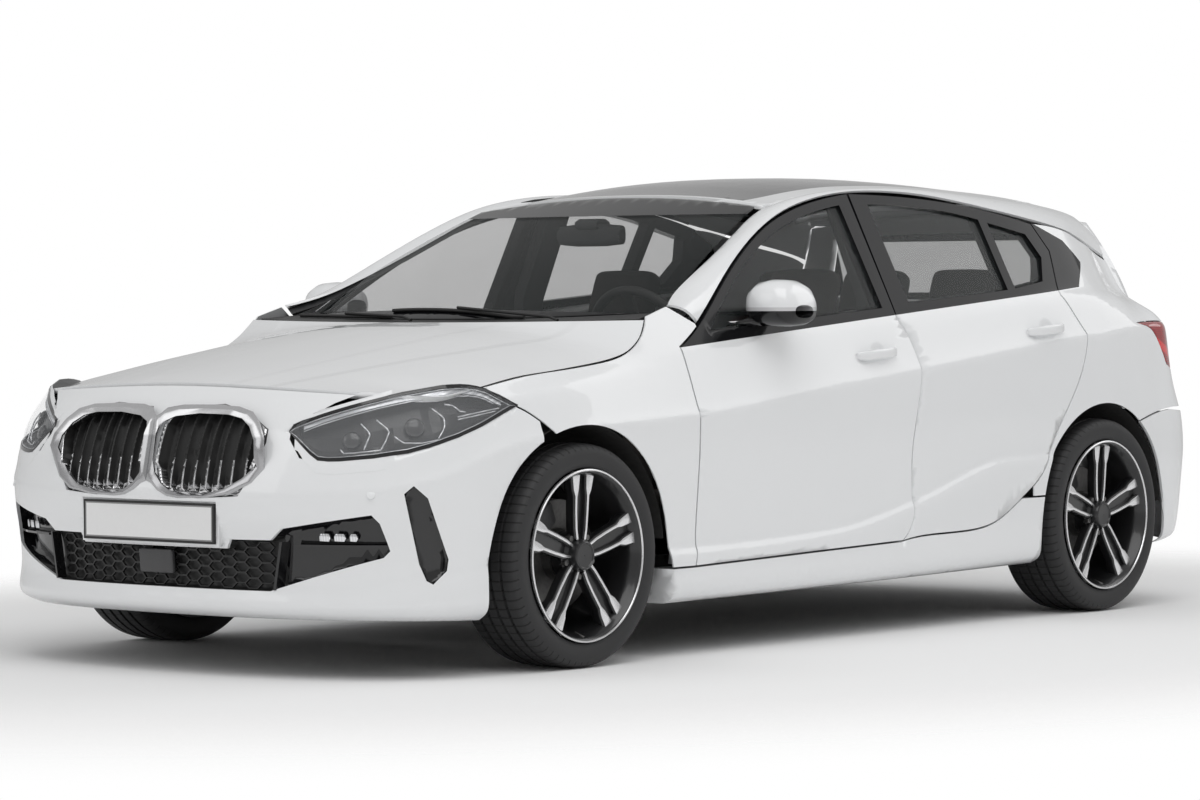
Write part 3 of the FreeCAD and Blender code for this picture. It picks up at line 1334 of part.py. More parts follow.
def front_subframe():
    """Crossmember with a lower arm and ball pin on each side, under the steering axis."""
    x = FRONT_AXLE_X
    top = ARM_Z - SEAT_GAP + ARM_HEIGHT / 2
    member = box(x - CROSSMEMBER_LENGTH, x, -CROSSMEMBER_HALF, CROSSMEMBER_HALF, ARM_Z - ARM_HEIGHT, top)
    pin_top = -KNUCKLE_RADIUS - ARM_HEIGHT / 4
    pin = kingpin_point(pin_top)
    low = kingpin_point(ARM_Z - TYRE_RADIUS)
    half_neck, beyond, before = [BALL_RADIUS * share for share in NECK_SHARES]
    foot = ARM_Z - ARM_HEIGHT
    arm = box(x - ARM_LENGTH / 2, x + ARM_LENGTH / 2, CROSSMEMBER_HALF - ARM_HEIGHT, low.y - before, foot, ARM_Z)
    arm = arm.fuse(box(x - half_neck, x + half_neck, low.y - before - half_neck, low.y + beyond, foot, ARM_Z))
    ball = cylinder(low, kingpin_axis(), BALL_RADIUS, (pin - low).Length)
    half = arm.fuse(ball)
    return member.fuse(half).fuse(mirrored(half))


def rear_axle():
    """Rear crossmember, trailing arms and the two fixed hub carriers."""
    x = REAR_AXLE_X
    half = REAR_MEMBER_HALF
    member = box(x - ARM_LENGTH, x + ARM_LENGTH, -half, half, TYRE_RADIUS - REAR_MEMBER_DEPTH, TYRE_RADIUS)
    carrier = hub_carrier(x)
    start = REAR_MEMBER_HALF - ARM_HEIGHT
    end = WHEEL_Y + DISC_OFFSET - KNUCKLE_LENGTH
    top = TYRE_RADIUS - ARM_HEIGHT / 2
    arm = box(x - ARM_LENGTH / 2, x + ARM_LENGTH / 2, start, end, top - ARM_HEIGHT, top)
    half = arm.fuse(carrier)
    return member.fuse(half).fuse(mirrored(half))


def brake_disc(axle_x):
    """Friction ring on a hat that bolts to the wheel's hub."""
    centre = wheel_centre(axle_x)
    low = DISC_OFFSET
    high = DISC_OFFSET + DISC_THICKNESS
    hub_face = RIM_WIDTH / 2 * HUB_FACE_SHARE
    return ring([
        (low, HUB_RADIUS), (low, DISC_RADIUS), (high, DISC_RADIUS), (high, HUB_RADIUS), (hub_face, HUB_RADIUS),
        (hub_face, HUB_RADIUS - WALL), (low, HUB_RADIUS - WALL),
    ], centre)


WALL = 8.0
FRONT_LINER_SHARE = 0.54
REAR_LINER_SHARE = 0.705
LINER_SKIRT = 30.0
LINER_SET = 20.0
LINER_PANEL_GAP = 2.0
LINER_SPAN_SHARES = (-0.46, 0.16)
LINER_END = 38.0
TOWER_GAP = 8.0


def liner_space(axle_x):
    """Round space over a wheel that the liner fills, inside the outer panels."""
    inner_y = HALF_WIDTH * REAR_LINER_SHARE
    radius = ARCH_RADIUS + PANEL_GAP + LINER + PANEL_GAP / 2
    return cylinder(vector(axle_x, inner_y, TYRE_RADIUS), vector(0, 1, 0), radius, HALF_WIDTH - LINER_SET - inner_y)


def arch_liner(axle_x, inner_share):
    """Half-round liner over the wheel, a constant distance inside the wheel opening."""
    inner_y = HALF_WIDTH * inner_share
    length = HALF_WIDTH - LINER_END - inner_y
    centre = vector(axle_x, inner_y, TYRE_RADIUS)
    radius = ARCH_RADIUS + PANEL_GAP
    outer = cylinder(centre, vector(0, 1, 0), radius + LINER, length)
    hollow = cylinder(centre - vector(0, LINER, 0), vector(0, 1, 0), radius, length + 2 * LINER)
    low, high = TYRE_RADIUS + LINER_SKIRT, TYRE_RADIUS + radius * 2
    keep = box(axle_x - radius * 2, axle_x + radius * 2, inner_y, HALF_WIDTH, low, high)
    shell = outer.cut(hollow).common(keep)
    if axle_x == FRONT_AXLE_X:
        shell = shell.common(skin_slab_box())
        tower = cylinder(kingpin_point(0), kingpin_axis(), STRUT_RADIUS + TOWER_GAP, STRUT_TOP * 2)
        shell = shell.cut(tower)
    return shell


def skin_slab_box():
    """Body volume inside the panels beside the front axle."""
    ahead, behind = LINER_SPAN_SHARES
    rows = [i / 2 for i in range(0, 2 * GLASS_TOP_ROW - 2)]
    stations = spread(1 + ahead, 1 + behind, 12)
    inner = [[vector(p.x, 0, p.z) for p in line] for line in skin_grid(stations, rows)]
    return slab(skin_grid(stations, rows, BUMPER_SHELL + LINER_PANEL_GAP), inner)


MIRROR_CENTRE_SHARES = (1.325, 1.0, 0.722)
MIRROR_SIZE = (150.0, 185.0, 125.0)
MIRROR_ROUND = 38.0
MIRROR_ARM_SIZE = (60.0, 24.0)
MIRROR_REACH_SHARE = 0.12


def door_mirror():
    """Rounded housing on a short arm that seats on the door below the glass."""
    station, breadth, height = MIRROR_CENTRE_SHARES
    centre = vector(x_at(station), HALF_WIDTH * breadth, HEIGHT * height)
    length, width, tall = MIRROR_SIZE
    housing = box(
        centre.x - length / 2, centre.x + length / 2, centre.y - width / 2, centre.y + width / 2,
        centre.z - tall / 2, centre.z + tall / 2,
    )
    housing = housing.makeFillet(MIRROR_ROUND, housing.Edges)
    arm_length, arm_height = MIRROR_ARM_SIZE
    low = centre.z - tall / 2
    near, far = centre.x - arm_length / 2, centre.x + arm_length / 2
    arm = box(near, far, centre.y - width, centre.y, low - arm_height, low + arm_height)
    stations = spread(station - MIRROR_REACH_SHARE, station + MIRROR_REACH_SHARE, 9)
    rows = [i / 2 for i in range(2 * BELT_ROW - 4, 2 * GLASS_TOP_ROW + 1)]
    door_side = slab(skin_grid(stations, rows, -SEAT_GAP), skin_grid(stations, rows, width))
    return housing.fuse(arm).cut(door_side)


TAIL_LAMP_SPAN_SHARES = (2.30, 2.68)
TAIL_LAMP_ROWS = (7.2, 8.9)
TAIL_LAMP_LEAN_SHARE = 0.13
TAIL_LAMP_DEPTH = 42.0
GATE_LAMP_SPAN_SHARES = (2.718, 2.84)


def lamp_block(span, rows, outside, inside, lean=0):
    """A lamp between two stations, two rows and two depths; lean sets how far its foot lies behind its top."""
    grids = []
    for depth in (outside, inside):
        grid = []
        for t in spread(0, 1, 12):
            line = []
            for level in spread(rows[0], rows[1], 7):
                first = span[0] + lean * (TAIL_LAMP_ROWS[1] - level)
                line.append(skin_point(first + (span[1] - first) * t, level, depth))
            grid.append(line)
        grids.append(grid)
    return slab(*grids)


def tail_lamp():
    return lamp_block(TAIL_LAMP_SPAN_SHARES, TAIL_LAMP_ROWS, 0, TAIL_LAMP_DEPTH, TAIL_LAMP_LEAN_SHARE)


def tail_lamp_block(growth):
    """The tail lamp's opening in the rear quarter."""
    first, last = TAIL_LAMP_SPAN_SHARES
    low, high = TAIL_LAMP_ROWS
    step = growth / REAR_OVERHANG
    drop, rise = [growth / pitch for pitch in TAIL_LAMP_ROW_PITCHES]
    span, rows = (first - step, last + step), (low - drop, high + rise)
    return lamp_block(span, rows, -OVERRUN, OVERRUN, TAIL_LAMP_LEAN_SHARE)


TAIL_LAMP_ROW_PITCHES = (60.0, 22.0)
LAMP_PROUD_SHARE = 9
GATE_LAMP_DEPTH = 20.0


def gate_lamp(growth=0):
    """The inner half of the tail lamp, set into the tailgate."""
    first, last = GATE_LAMP_SPAN_SHARES
    low, high = TAIL_LAMP_ROWS
    step = growth / REAR_OVERHANG
    drop, rise = [growth / pitch for pitch in TAIL_LAMP_ROW_PITCHES]
    span, rows = (first - step, last + step), (low - drop, high + rise)
    return lamp_block(span, rows, -growth * LAMP_PROUD_SHARE, GATE_LAMP_DEPTH + growth)


LOAD_FLOOR_SHARE = 0.3487
LOAD_FLOOR_Z = HEIGHT * LOAD_FLOOR_SHARE
LOAD_HALF_SHARE = 0.672
LOAD_FRONT_STATION = 1.955
LOAD_REAR_STATION = 2.82
LOAD_WALL_REAR_STATION = 2.55
LOAD_WALL_FRONT_STATION = 2.035
LOAD_WALL_SHARE = 0.69
LOAD_WALL_STATIONS = (1.90, 2.70)
LEDGE_GAP = 3.0


def load_floor():
    """Load floor, the step up to it behind the cabin floor, the rear panel and the side trim walls."""
    front, rear = x_at(LOAD_FRONT_STATION), x_at(LOAD_REAR_STATION)
    half = HALF_WIDTH * LOAD_HALF_SHARE
    low = FLOOR_TOP - FLOOR_DEPTH
    deck = box(rear, front, -half, half, LOAD_FLOOR_Z - SHEET, LOAD_FLOOR_Z)
    step = box(front - SHEET, front, -half, half, low, LOAD_FLOOR_Z)
    pan = box(front - SHEET, x_at(FLOOR_SPAN_SHARES[1]) - SEAT_GAP, -half, half, low, FLOOR_TOP)
    panel = box(rear, rear + SHEET, -half, half, LOAD_FLOOR_Z - CUSHION_DEPTH, LOAD_FLOOR_Z + CUSHION_DEPTH)
    return deck.fuse(step).fuse(pan).fuse(panel)


def load_wall():
    """Side wall of the load space with the ledge that reaches the quarter panel."""
    front, rear = x_at(LOAD_WALL_FRONT_STATION), x_at(LOAD_WALL_REAR_STATION)
    inner = HALF_WIDTH * LOAD_HALF_SHARE + SEAT_GAP
    top = HEIGHT * LOAD_WALL_SHARE
    wall = box(rear, front, inner, inner + SHEET, LOAD_FLOOR_Z, top)
    ledge = box(rear, front, inner, HALF_WIDTH, top - SHEET, top)
    rows = [i / 2 for i in range(2 * BELT_ROW - 8, 2 * GLASS_TOP_ROW)]
    stations = spread(*LOAD_WALL_STATIONS, 14)
    outer = skin_grid(stations, rows, PANEL + LEDGE_GAP)
    inside = slab(outer, [[vector(p.x, 0, p.z) for p in line] for line in outer])
    return wall.fuse(ledge.common(inside))


COWL_GAP = 8.0
COWL_DEPTH = 14.0
COWL_SIDE_SHARE = 0.97


def cowl():
    """Panel between the bonnet's rear edge and the foot of the windscreen."""
    us, ws = spread(-COWL_SIDE_SHARE, COWL_SIDE_SHARE, 17), spread(0, 1, 5)
    grid = []
    for u in us:
        start = bonnet_point(u, 1) - vector(COWL_GAP, 0, COWL_GAP)
        end = bowed(WINDSCREEN_BASE_SHARES, u) + vector(COWL_GAP / 4, 0, -COWL_GAP / 2)
        grid.append([start + (end - start) * w for w in ws])
    under = [[point - vector(0, 0, COWL_DEPTH) for point in row] for row in grid]
    return slab(grid, under)


def build():
    os.makedirs("parts", exist_ok=True)
    doors = {
        "door_front": (
            side_door(FRONT_DOOR_SHARES, [FRONT_GLASS_SHARES], 1.15, 1.62),
            side_glass([FRONT_GLASS_SHARES], 1.2, 1.6),
        ),
        "door_rear": (
            side_door(REAR_DOOR_SHARES, [REAR_GLASS_SHARES, QUARTER_GLASS_SHARES], 1.56, 1.98),
            side_glass([REAR_GLASS_SHARES, QUARTER_GLASS_SHARES], 1.58, 1.97),
        ),
    }
    for name, (door, glass) in doors.items():
        write(name + "_left", door)
        write(name + "_right", mirrored(door))
        write("glass_" + name[5:] + "_left", glass)
        write("glass_" + name[5:] + "_right", mirrored(glass))
    two_sided = {
        "door_mirror": door_mirror(), "knuckle": front_knuckle(),
        "tyre_front": tyre(wheel_centre(FRONT_AXLE_X)), "tyre_rear": tyre(wheel_centre(REAR_AXLE_X)),
        "rim_front": rim(wheel_centre(FRONT_AXLE_X)).fuse(brake_disc(FRONT_AXLE_X)),
        "rim_rear": rim(wheel_centre(REAR_AXLE_X)).fuse(brake_disc(REAR_AXLE_X)),
    }
    for name, shape in two_sided.items():
        write(name + "_left", shape)
        write(name + "_right", mirrored(shape))
    bumper = front_bumper()
    pairs = {
        "fenders": solids(fender().cut(bumper)), "rear_quarters": rear_quarter(), "side_sills": side_sill(),
        "cantrails": pillar_cover(), "tail_lamps": tail_lamp(), "body_frames": body_frame(), "load_walls": load_wall(),
    }
    for name, shape in pairs.items():
        write(name, pair(shape))
    lens, housing = headlamp()
    single = {
        "front_bumper": bumper, "kidney_grilles": pair(kidney_grille()), "lower_grille": lower_grille(),
        "headlamp_lenses": pair(lens), "headlamp_housings": pair(housing), "front_plate": front_plate(),
        "bonnet": bonnet(), "windscreen": screen(WINDSCREEN_BASE_SHARES, WINDSCREEN_TOP_SHARES),
        "roof_panel": roof_panel(), "rear_bumper": rear_bumper(), "tailgate": tailgate(), "rear_window": rear_glass(),
        "floor_pan": floor_pan(), "front_rails": front_rails(), "engine_block": engine_block(),
        "rear_bench": rear_bench(), "dashboard": dashboard(), "bulkhead": bulkhead(), "steering_wheel": steering_wheel(),
        "front_seats": Part.makeCompound([front_seat(1), front_seat(-1)]),
        "cowl": cowl(), "load_floor": load_floor(), "tailgate_lamps": pair(gate_lamp()),
        "front_subframe": front_subframe(), "rear_axle": rear_axle(),
        "front_arch_liners": pair(arch_liner(FRONT_AXLE_X, FRONT_LINER_SHARE)),
        "rear_arch_liners": pair(arch_liner(REAR_AXLE_X, REAR_LINER_SHARE)),
    }
    for name, shape in single.items():
        write(name, shape)


def write(name, shape):
    shape.exportStep("parts/" + name + ".step")


build()
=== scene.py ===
import json
import math
from contextlib import contextmanager

import bmesh
import bpy
from mathutils import Matrix, Vector
from mathutils.bvhtree import BVHTree


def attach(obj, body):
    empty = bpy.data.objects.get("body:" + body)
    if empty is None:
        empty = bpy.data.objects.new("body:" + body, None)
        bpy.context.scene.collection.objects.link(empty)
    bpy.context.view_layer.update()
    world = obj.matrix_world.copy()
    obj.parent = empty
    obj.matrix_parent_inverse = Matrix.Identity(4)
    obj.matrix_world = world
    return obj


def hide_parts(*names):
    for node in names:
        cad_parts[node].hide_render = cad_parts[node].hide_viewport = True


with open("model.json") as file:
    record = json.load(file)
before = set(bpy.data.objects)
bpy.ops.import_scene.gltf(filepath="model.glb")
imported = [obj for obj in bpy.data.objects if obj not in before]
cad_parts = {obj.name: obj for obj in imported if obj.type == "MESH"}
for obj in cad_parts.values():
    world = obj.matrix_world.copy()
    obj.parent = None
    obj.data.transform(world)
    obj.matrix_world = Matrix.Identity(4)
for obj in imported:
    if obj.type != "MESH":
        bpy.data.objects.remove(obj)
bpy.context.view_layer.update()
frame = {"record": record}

# The studio: a pale sweep of floor, three large soft lamps and an even world.
# White is seen behind the car and in its glass and bright trim, and the floor keeps the shadow.
WORLD_LIGHT = 0.48
FLOOR_SIZE = 60
FLOOR_FADE = (2.1, 3.6)
LAMPS = {"key_lamp": ((3.0, 3.5, 7.0), 7.0, 250), "fill_lamp": ((7.5, -3.5, 4.0), 5.0, 70),
         "back_lamp": ((-6.0, 3.5, 5.0), 5.0, 90)}
LAMP_TARGET = Vector((0, 0, 0.5))


class Socket:
    """A shader socket that takes Python sums."""

    def __init__(self, tree, link):
        self.tree = tree
        self.link = link

    def put(self, target):
        self.tree.links.new(self.link, target)

    def node(self, kind, values=(), out=0, **settings):
        """A new node with its inputs filled by name or in order, as the socket of one of its outputs."""
        made = self.tree.nodes.new(kind)
        for name, value in settings.items():
            setattr(made, name, value)
        for name, value in values.items() if isinstance(values, dict) else enumerate(values):
            if isinstance(value, Socket):
                value.put(made.inputs[name])
            else:
                made.inputs[name].default_value = value
        return Socket(self.tree, made.outputs[out])

    def math(self, operation, *values):
        return self.node("ShaderNodeMath", (self,) + values, operation=operation)

    def __add__(self, other):
        return self.math("ADD", other)

    __radd__ = __add__

    def __mul__(self, other):
        return self.math("MULTIPLY", other)

    __rmul__ = __mul__

    def __sub__(self, other):
        return self.math("SUBTRACT", other)

    def __rsub__(self, other):
        return self * -1 + other

    def over(self, level):
        """1 above a level, 0 below."""
        return self.math("GREATER_THAN", level)

    def ramp(self, low, high):
        """0 below low, 1 above high, smooth between."""
        values = {"Value": self, "From Min": low, "From Max": high}
        return self.node("ShaderNodeMapRange", values, interpolation_type="SMOOTHSTEP")

    def mix(self, first, second):
        """Colour between first and second by this factor."""
        return self.node("ShaderNodeMix", {0: self, 6: first, 7: second}, out=2, data_type="RGBA")


def finish(name, **constants):
    """A new material, with its shader, object coordinates and the coordinates' three parts."""
    material = bpy.data.materials.new(name)
    material.use_nodes = True
    tree = material.node_tree
    shader = tree.nodes["Principled BSDF"]
    for socket, value in constants.items():
        shader.inputs[socket.replace("_", " ")].default_value = value
    place = Socket(tree, None).node("ShaderNodeTexCoord", out="Object")
    parts = place.node("ShaderNodeSeparateXYZ", (place,))
    axes = [Socket(tree, parts.link.node.outputs[i]) for i in range(3)]
    return material, shader, place, axes


def bump(place, height, strength, distance):
    """A shading normal with a relief."""
    return place.node("ShaderNodeBump", {"Height": height, "Strength": strength, "Distance": distance})


def see_white(material):
    """1 for rays from the camera and through glass, 0 for the rest."""
    path = Socket(material.node_tree, None).node("ShaderNodeLightPath")
    straight = Socket(material.node_tree, path.link.node.outputs["Is Camera Ray"])
    return straight.math("MAXIMUM", Socket(material.node_tree, path.link.node.outputs["Is Transmission Ray"]))


world = bpy.data.worlds.new("studio")
bpy.context.scene.world = world
world.use_nodes = True
air = world.node_tree.nodes["Background"]
seen = see_white(world)
(seen * (1 - WORLD_LIGHT) + WORLD_LIGHT).put(air.inputs["Strength"])
air.inputs["Color"].default_value = (1, 1, 1, 1)

bpy.ops.object.select_all(action="DESELECT")
bpy.ops.mesh.primitive_plane_add(size=FLOOR_SIZE, location=(0, 0, 0))
floor = bpy.context.object
floor.name = "studio_floor"
floor_paint, shader, place, axes = finish("floor_paint", Roughness=0.9)
shader.inputs["Base Color"].default_value = (0.93, 0.93, 0.93, 1)
distance = (axes[0] * axes[0] * 0.55 + axes[1] * axes[1]).math("SQRT")
far = distance.ramp(*FLOOR_FADE) * see_white(floor_paint)
clear = place.node("ShaderNodeBsdfTransparent")
sweep = far.node("ShaderNodeMixShader", (far, Socket(floor_paint.node_tree, shader.outputs[0]), clear))
sweep.put(floor_paint.node_tree.nodes["Material Output"].inputs["Surface"])
floor.data.materials.append(floor_paint)

for lamp_name, (spot, size, power) in LAMPS.items():
    light = bpy.data.lights.new(lamp_name, "AREA")
    light.size = size
    light.energy = power
    lamp = bpy.data.objects.new(lamp_name, light)
    bpy.context.collection.objects.link(lamp)
    lamp.location = spot
    lamp.rotation_euler = (LAMP_TARGET - Vector(spot)).to_track_quat("-Z", "Y").to_euler()

# The camera stands ahead of the car's left front corner, low and far off with a long lens.
# Its place, turn and lens were solved from the car's sizes and their places in the photograph.
CAMERA_PLACE = (10.409, 8.5246, 1.0620)
CAMERA_YAW, CAMERA_PITCH, CAMERA_ROLL = 3.8358, 0.0256, -0.0045
CAMERA_LENS, CAMERA_SENSOR = 126.65, 36
view = bpy.data.cameras.new("view")
view.lens = CAMERA_LENS
view.sensor_width = CAMERA_SENSOR
camera = bpy.data.objects.new("view", view)
bpy.context.collection.objects.link(camera)
bpy.context.scene.camera = camera
level = math.cos(CAMERA_PITCH)
ahead = Vector((level * math.cos(CAMERA_YAW), level * math.sin(CAMERA_YAW), -math.sin(CAMERA_PITCH)))
right = Vector((math.sin(CAMERA_YAW), -math.cos(CAMERA_YAW), 0))
up = right.cross(ahead)
right_rolled = math.cos(CAMERA_ROLL) * right + math.sin(CAMERA_ROLL) * up
up_rolled = -math.sin(CAMERA_ROLL) * right + math.cos(CAMERA_ROLL) * up
turn = Matrix((right_rolled, up_rolled, -ahead)).transposed().to_4x4()
camera.matrix_world = Matrix.Translation(CAMERA_PLACE) @ turn
bpy.context.scene.view_settings.view_transform = "Standard"

# The painted outer panels: pressed sheet and moulded bumpers in gloss white under clear coat.
# Each keeps its pressing, with the facets merged and shaded as one smooth skin.
PAINT_WHITE = (0.83, 0.84, 0.85, 1)
BLACK_GLOSS = (0.008, 0.008, 0.009, 1)
MERGE = 2e-5
FLAKE_SCALE = 900.0


def pick(piece):
    """Makes a piece the only selected and active one."""
    bpy.ops.object.select_all(action="DESELECT")
    piece.select_set(True)
    bpy.context.view_layer.objects.active = piece


def smoothed(piece, angle):
    """Shades a piece smooth where its faces meet at less than an angle in degrees."""
    pick(piece)
    bpy.ops.object.shade_smooth_by_angle(angle=math.radians(angle))
    return piece


def applied(piece, kind, **settings):
    """Puts a modifier on a piece and applies it."""
    pick(piece)
    modifier = piece.modifiers.new(kind.lower(), kind)
    for name, value in settings.items():
        setattr(modifier, name, value)
    bpy.ops.object.modifier_apply(modifier=modifier.name)
    return piece


def smooth_copy(node, name, angle=32):
    """A merged and smoothly shaded copy of a CAD node, which stands for it."""
    source = bpy.data.objects[node]
    mesh = source.data.copy()
    mesh.name = name
    mesh.transform(source.matrix_world)
    copy = bpy.data.objects.new(name, mesh)
    bpy.context.collection.objects.link(copy)
    solid = bmesh.new()
    solid.from_mesh(mesh)
    bmesh.ops.remove_doubles(solid, verts=solid.verts, dist=MERGE)
    bmesh.ops.dissolve_degenerate(solid, edges=solid.edges, dist=MERGE / 20)
    solid.to_mesh(mesh)
    solid.free()
    smoothed(copy, angle)
    applied(copy, "WEIGHTED_NORMAL", keep_sharp=True, weight=80)
    mesh.materials.clear()
    return copy


def body_of(node):
    """The body that the record gives a CAD node to."""
    bodies = frame["record"]["behaviour"]["bodies"]
    return next(body for body, nodes in bodies.items() if node in nodes)


def dress(node, name, material, angle=32):
    """Puts a smooth copy in one material in a CAD node's place."""
    piece = smooth_copy(node, name, angle)
    piece.data.materials.append(material)
    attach(piece, body_of(node))
    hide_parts(node)
    return piece


paint, shader, place, axes = finish("white_paint", Coat_Weight=1.0, Coat_Roughness=0.03, Roughness=0.34)
shader.inputs["Base Color"].default_value = PAINT_WHITE
flake = place.node("ShaderNodeTexNoise", {"Vector": place, "Scale": FLAKE_SCALE, "Detail": 1.0})
bump(place, flake, 0.02, 0.0004).put(shader.inputs["Normal"])


def panel_paint(name, black_part, relief=None):
    """White paint that turns to gloss black trim where black_part is 1, with a pressed relief if given."""
    material, shader, place, axes = finish(name, Coat_Roughness=0.03, Specular_IOR_Level=0.18)
    mask = black_part(axes)
    mask.mix(PAINT_WHITE, BLACK_GLOSS).put(shader.inputs["Base Color"])
    (1 - mask).put(shader.inputs["Coat Weight"])
    (mask * -0.22 + 0.34).put(shader.inputs["Roughness"])
    flake = place.node("ShaderNodeTexNoise", {"Vector": place, "Scale": FLAKE_SCALE, "Detail": 1.0})
    if relief:
        bump(place, flake * 0.002 + relief(axes), 1.0, 0.004).put(shader.inputs["Normal"])
    else:
        bump(place, flake, 0.02, 0.0004).put(shader.inputs["Normal"])
    return material


def chain(value, points):
    """Height of a line of points over a value."""
    total = value * 0.0 + points[0][1]
    for (start, low), (end, high) in zip(points, points[1:]):
        step = (value - start).math("MAXIMUM", 0.0).math("MINIMUM", end - start)
        total = total + step * ((high - low) / (end - start))
    return total


BELT_SLOPE, BELT_HEIGHT = -0.0810, 0.9648


def above_belt(axes):
    """The doors' black window frames, over the belt line."""
    return (axes[2] - (axes[0] * BELT_SLOPE + BELT_HEIGHT)).over(0.0)


WINDOW_END = ((-1.4105, 1.154), (-1.3405, 1.226), (-1.1805, 1.287), (-0.8005, 1.349))
WINDOW_FOOT = ((-1.4105, 1.154), (-1.3155, 1.0714), (-0.8005, 1.0297))


def window_end(axes):
    """The black field that ends the side windows on the rear quarter."""
    below_top = (chain(axes[0], WINDOW_END) - axes[2]).over(0.0)
    above_foot = (axes[2] - chain(axes[0], WINDOW_FOOT)).over(0.0)
    return below_top * above_foot * (axes[0] - WINDOW_END[0][0]).over(0.0)


HANDLES = {"front": (-0.117, 0.868), "rear": (-1.026, 0.933)}
DISH_BACK = 0.012
DISH_RADII = (0.012, 0.046)
BONNET_LINES = ((((0.95, 0.610), (1.40, 0.520), (1.99, 0.330)), 1.3),
                (((0.95, 0.360), (1.40, 0.300), (1.99, 0.190)), 0.7))


def handle_dishes(axes):
    """Round hollows in the door skin behind the pull bars."""
    depth = axes[0] * 0.0
    for x, z in HANDLES.values():
        east, rise = axes[0] - x + DISH_BACK, (axes[2] - z) * 1.15
        depth = depth.math("MAXIMUM", 1 - (east * east + rise * rise).math("SQRT").ramp(*DISH_RADII))
    return depth * -1.6


def bonnet_creases(axes):
    """Two raised lines each side that run from the windscreen towards the kidneys."""
    across = axes[1].math("ABSOLUTE")
    height = axes[0] * 0.0
    for line, size in BONNET_LINES:
        height = height + (across - chain(axes[0], line)).ramp(-0.030, 0.012) * size
    return height


def nowhere(axes):
    """No black part at all."""
    return axes[0] * 0.0


door_paint = panel_paint("white_paint_with_black_frame", above_belt, handle_dishes)
bonnet_paint = panel_paint("white_paint_with_creases", nowhere, bonnet_creases)
quarter_paint = panel_paint("white_paint_with_black_end", window_end)

for node in ("front_bumper", "rear_bumper", "fenders", "side_sills", "cantrails", "tailgate"):
    dress(node, node + "_painted", paint)
dress("bonnet", "bonnet_painted", bonnet_paint)
dress("rear_quarters", "rear_quarters_painted", quarter_paint)
for node in ("door_front_left", "door_front_right", "door_rear_left", "door_rear_right"):
    dress(node, node + "_painted", door_paint)

# Wheels: five double spokes of cast alloy, turned bright on their faces and painted black in their pockets,
# on a black barrel with a bright edge. One sector is shaped and copied round, and the wheel is copied to
# each corner. Sections are given as places along the axle and radii.
SIDES = (("left", 1), ("right", -1))
AXLES = {"front": 1.2975, "rear": -1.3725}
WHEEL_OUT = 0.7825
HUB_HEIGHT = 0.3186
RIM_EDGE = 0.2455
FACE_PLACE, FACE_DISHING = 0.087, 0.010
SPOKE_RIDGE = (
    (0.044, 0.012, 0.020), (0.075, 0.0175, 0.0255), (0.120, 0.0205, 0.0285), (0.168, 0.0215, 0.0300),
    (0.186, 0.0170, 0.0385), (0.215, 0.0150, 0.0440), (0.2385, 0.0140, 0.0485),
)
RIDGE_THICK, RIDGE_EDGE = 0.0035, 0.0012
POCKET_DEPTH, POCKET_EDGE = 0.030, 0.004
WEB_SINK, WEB_THICK = 0.016, 0.012
WEB_OUTLINE = (
    (-0.018, 0.040), (-0.020, 0.170), (-0.016, 0.236), (0.016, 0.236), (0.020, 0.170), (0.018, 0.040),
)
BARREL_SECTION = (
    (0.1115, 0.2385), (0.104, 0.2365), (0.094, 0.2300), (0.070, 0.2220), (-0.060, 0.2150), (-0.090, 0.2200),
    (-0.108, 0.2360), (-0.1155, 0.2450), (-0.1155, 0.2380), (-0.104, 0.2260), (-0.090, 0.2140),
    (-0.060, 0.2090), (0.070, 0.2160), (0.090, 0.2240), (0.100, 0.2310), (0.1080, 0.2340), (0.1115, 0.2385),
)
LIP_SECTION = (
    (0.1080, 0.2455), (0.1135, 0.2450), (0.1150, 0.2430), (0.1145, 0.2400), (0.1120, 0.2388),
    (0.1040, 0.2410), (0.1080, 0.2455),
)
CAP_SECTION = (
    (0.030, 0.001), (0.030, 0.070), (0.068, 0.068), (0.078, 0.048), (0.092, 0.0445), (0.101, 0.0405),
    (0.1025, 0.0360), (0.0990, 0.0330), (0.0985, 0.001),
)
DISC_SECTION = (
    (0.028, 0.040), (0.028, 0.074), (-0.001, 0.076), (-0.002, 0.156), (-0.004, 0.158), (-0.009, 0.158),
    (-0.010, 0.150), (-0.017, 0.150), (-0.018, 0.158), (-0.024, 0.158), (-0.026, 0.156), (-0.026, 0.070),
    (0.020, 0.068), (0.020, 0.040), (0.028, 0.040),
)
BOLT_PLACE = Vector((0, 0.070, 0.060))
VALVE_PLACE = (0.010, 0.086, -0.224)


@contextmanager
def editing(piece):
    """Edit mode on a piece with all of its mesh selected."""
    pick(piece)
    bpy.ops.object.mode_set(mode="EDIT")
    bpy.ops.mesh.select_all(action="SELECT")
    yield
    bpy.ops.object.mode_set(mode="OBJECT")


def drawn(name, points, face=False):
    """A line drawn vertex by vertex, closed into a flat face if asked."""
    bpy.ops.object.select_all(action="DESELECT")
    bpy.ops.mesh.primitive_plane_add(size=0.001, location=points[0])
    line = bpy.context.object
    line.name = line.data.name = name
    bpy.ops.object.transform_apply(location=True, rotation=True, scale=True)
    bpy.ops.object.mode_set(mode="EDIT")
    bpy.ops.mesh.merge(type="CENTER")
    for start, end in zip(points, points[1:]):
        bpy.ops.mesh.extrude_vertices_move(TRANSFORM_OT_translate={"value": Vector(end) - Vector(start)})
    bpy.ops.mesh.select_all(action="SELECT")
    if face:
        bpy.ops.mesh.edge_face_add()
    bpy.ops.object.mode_set(mode="OBJECT")
    return line


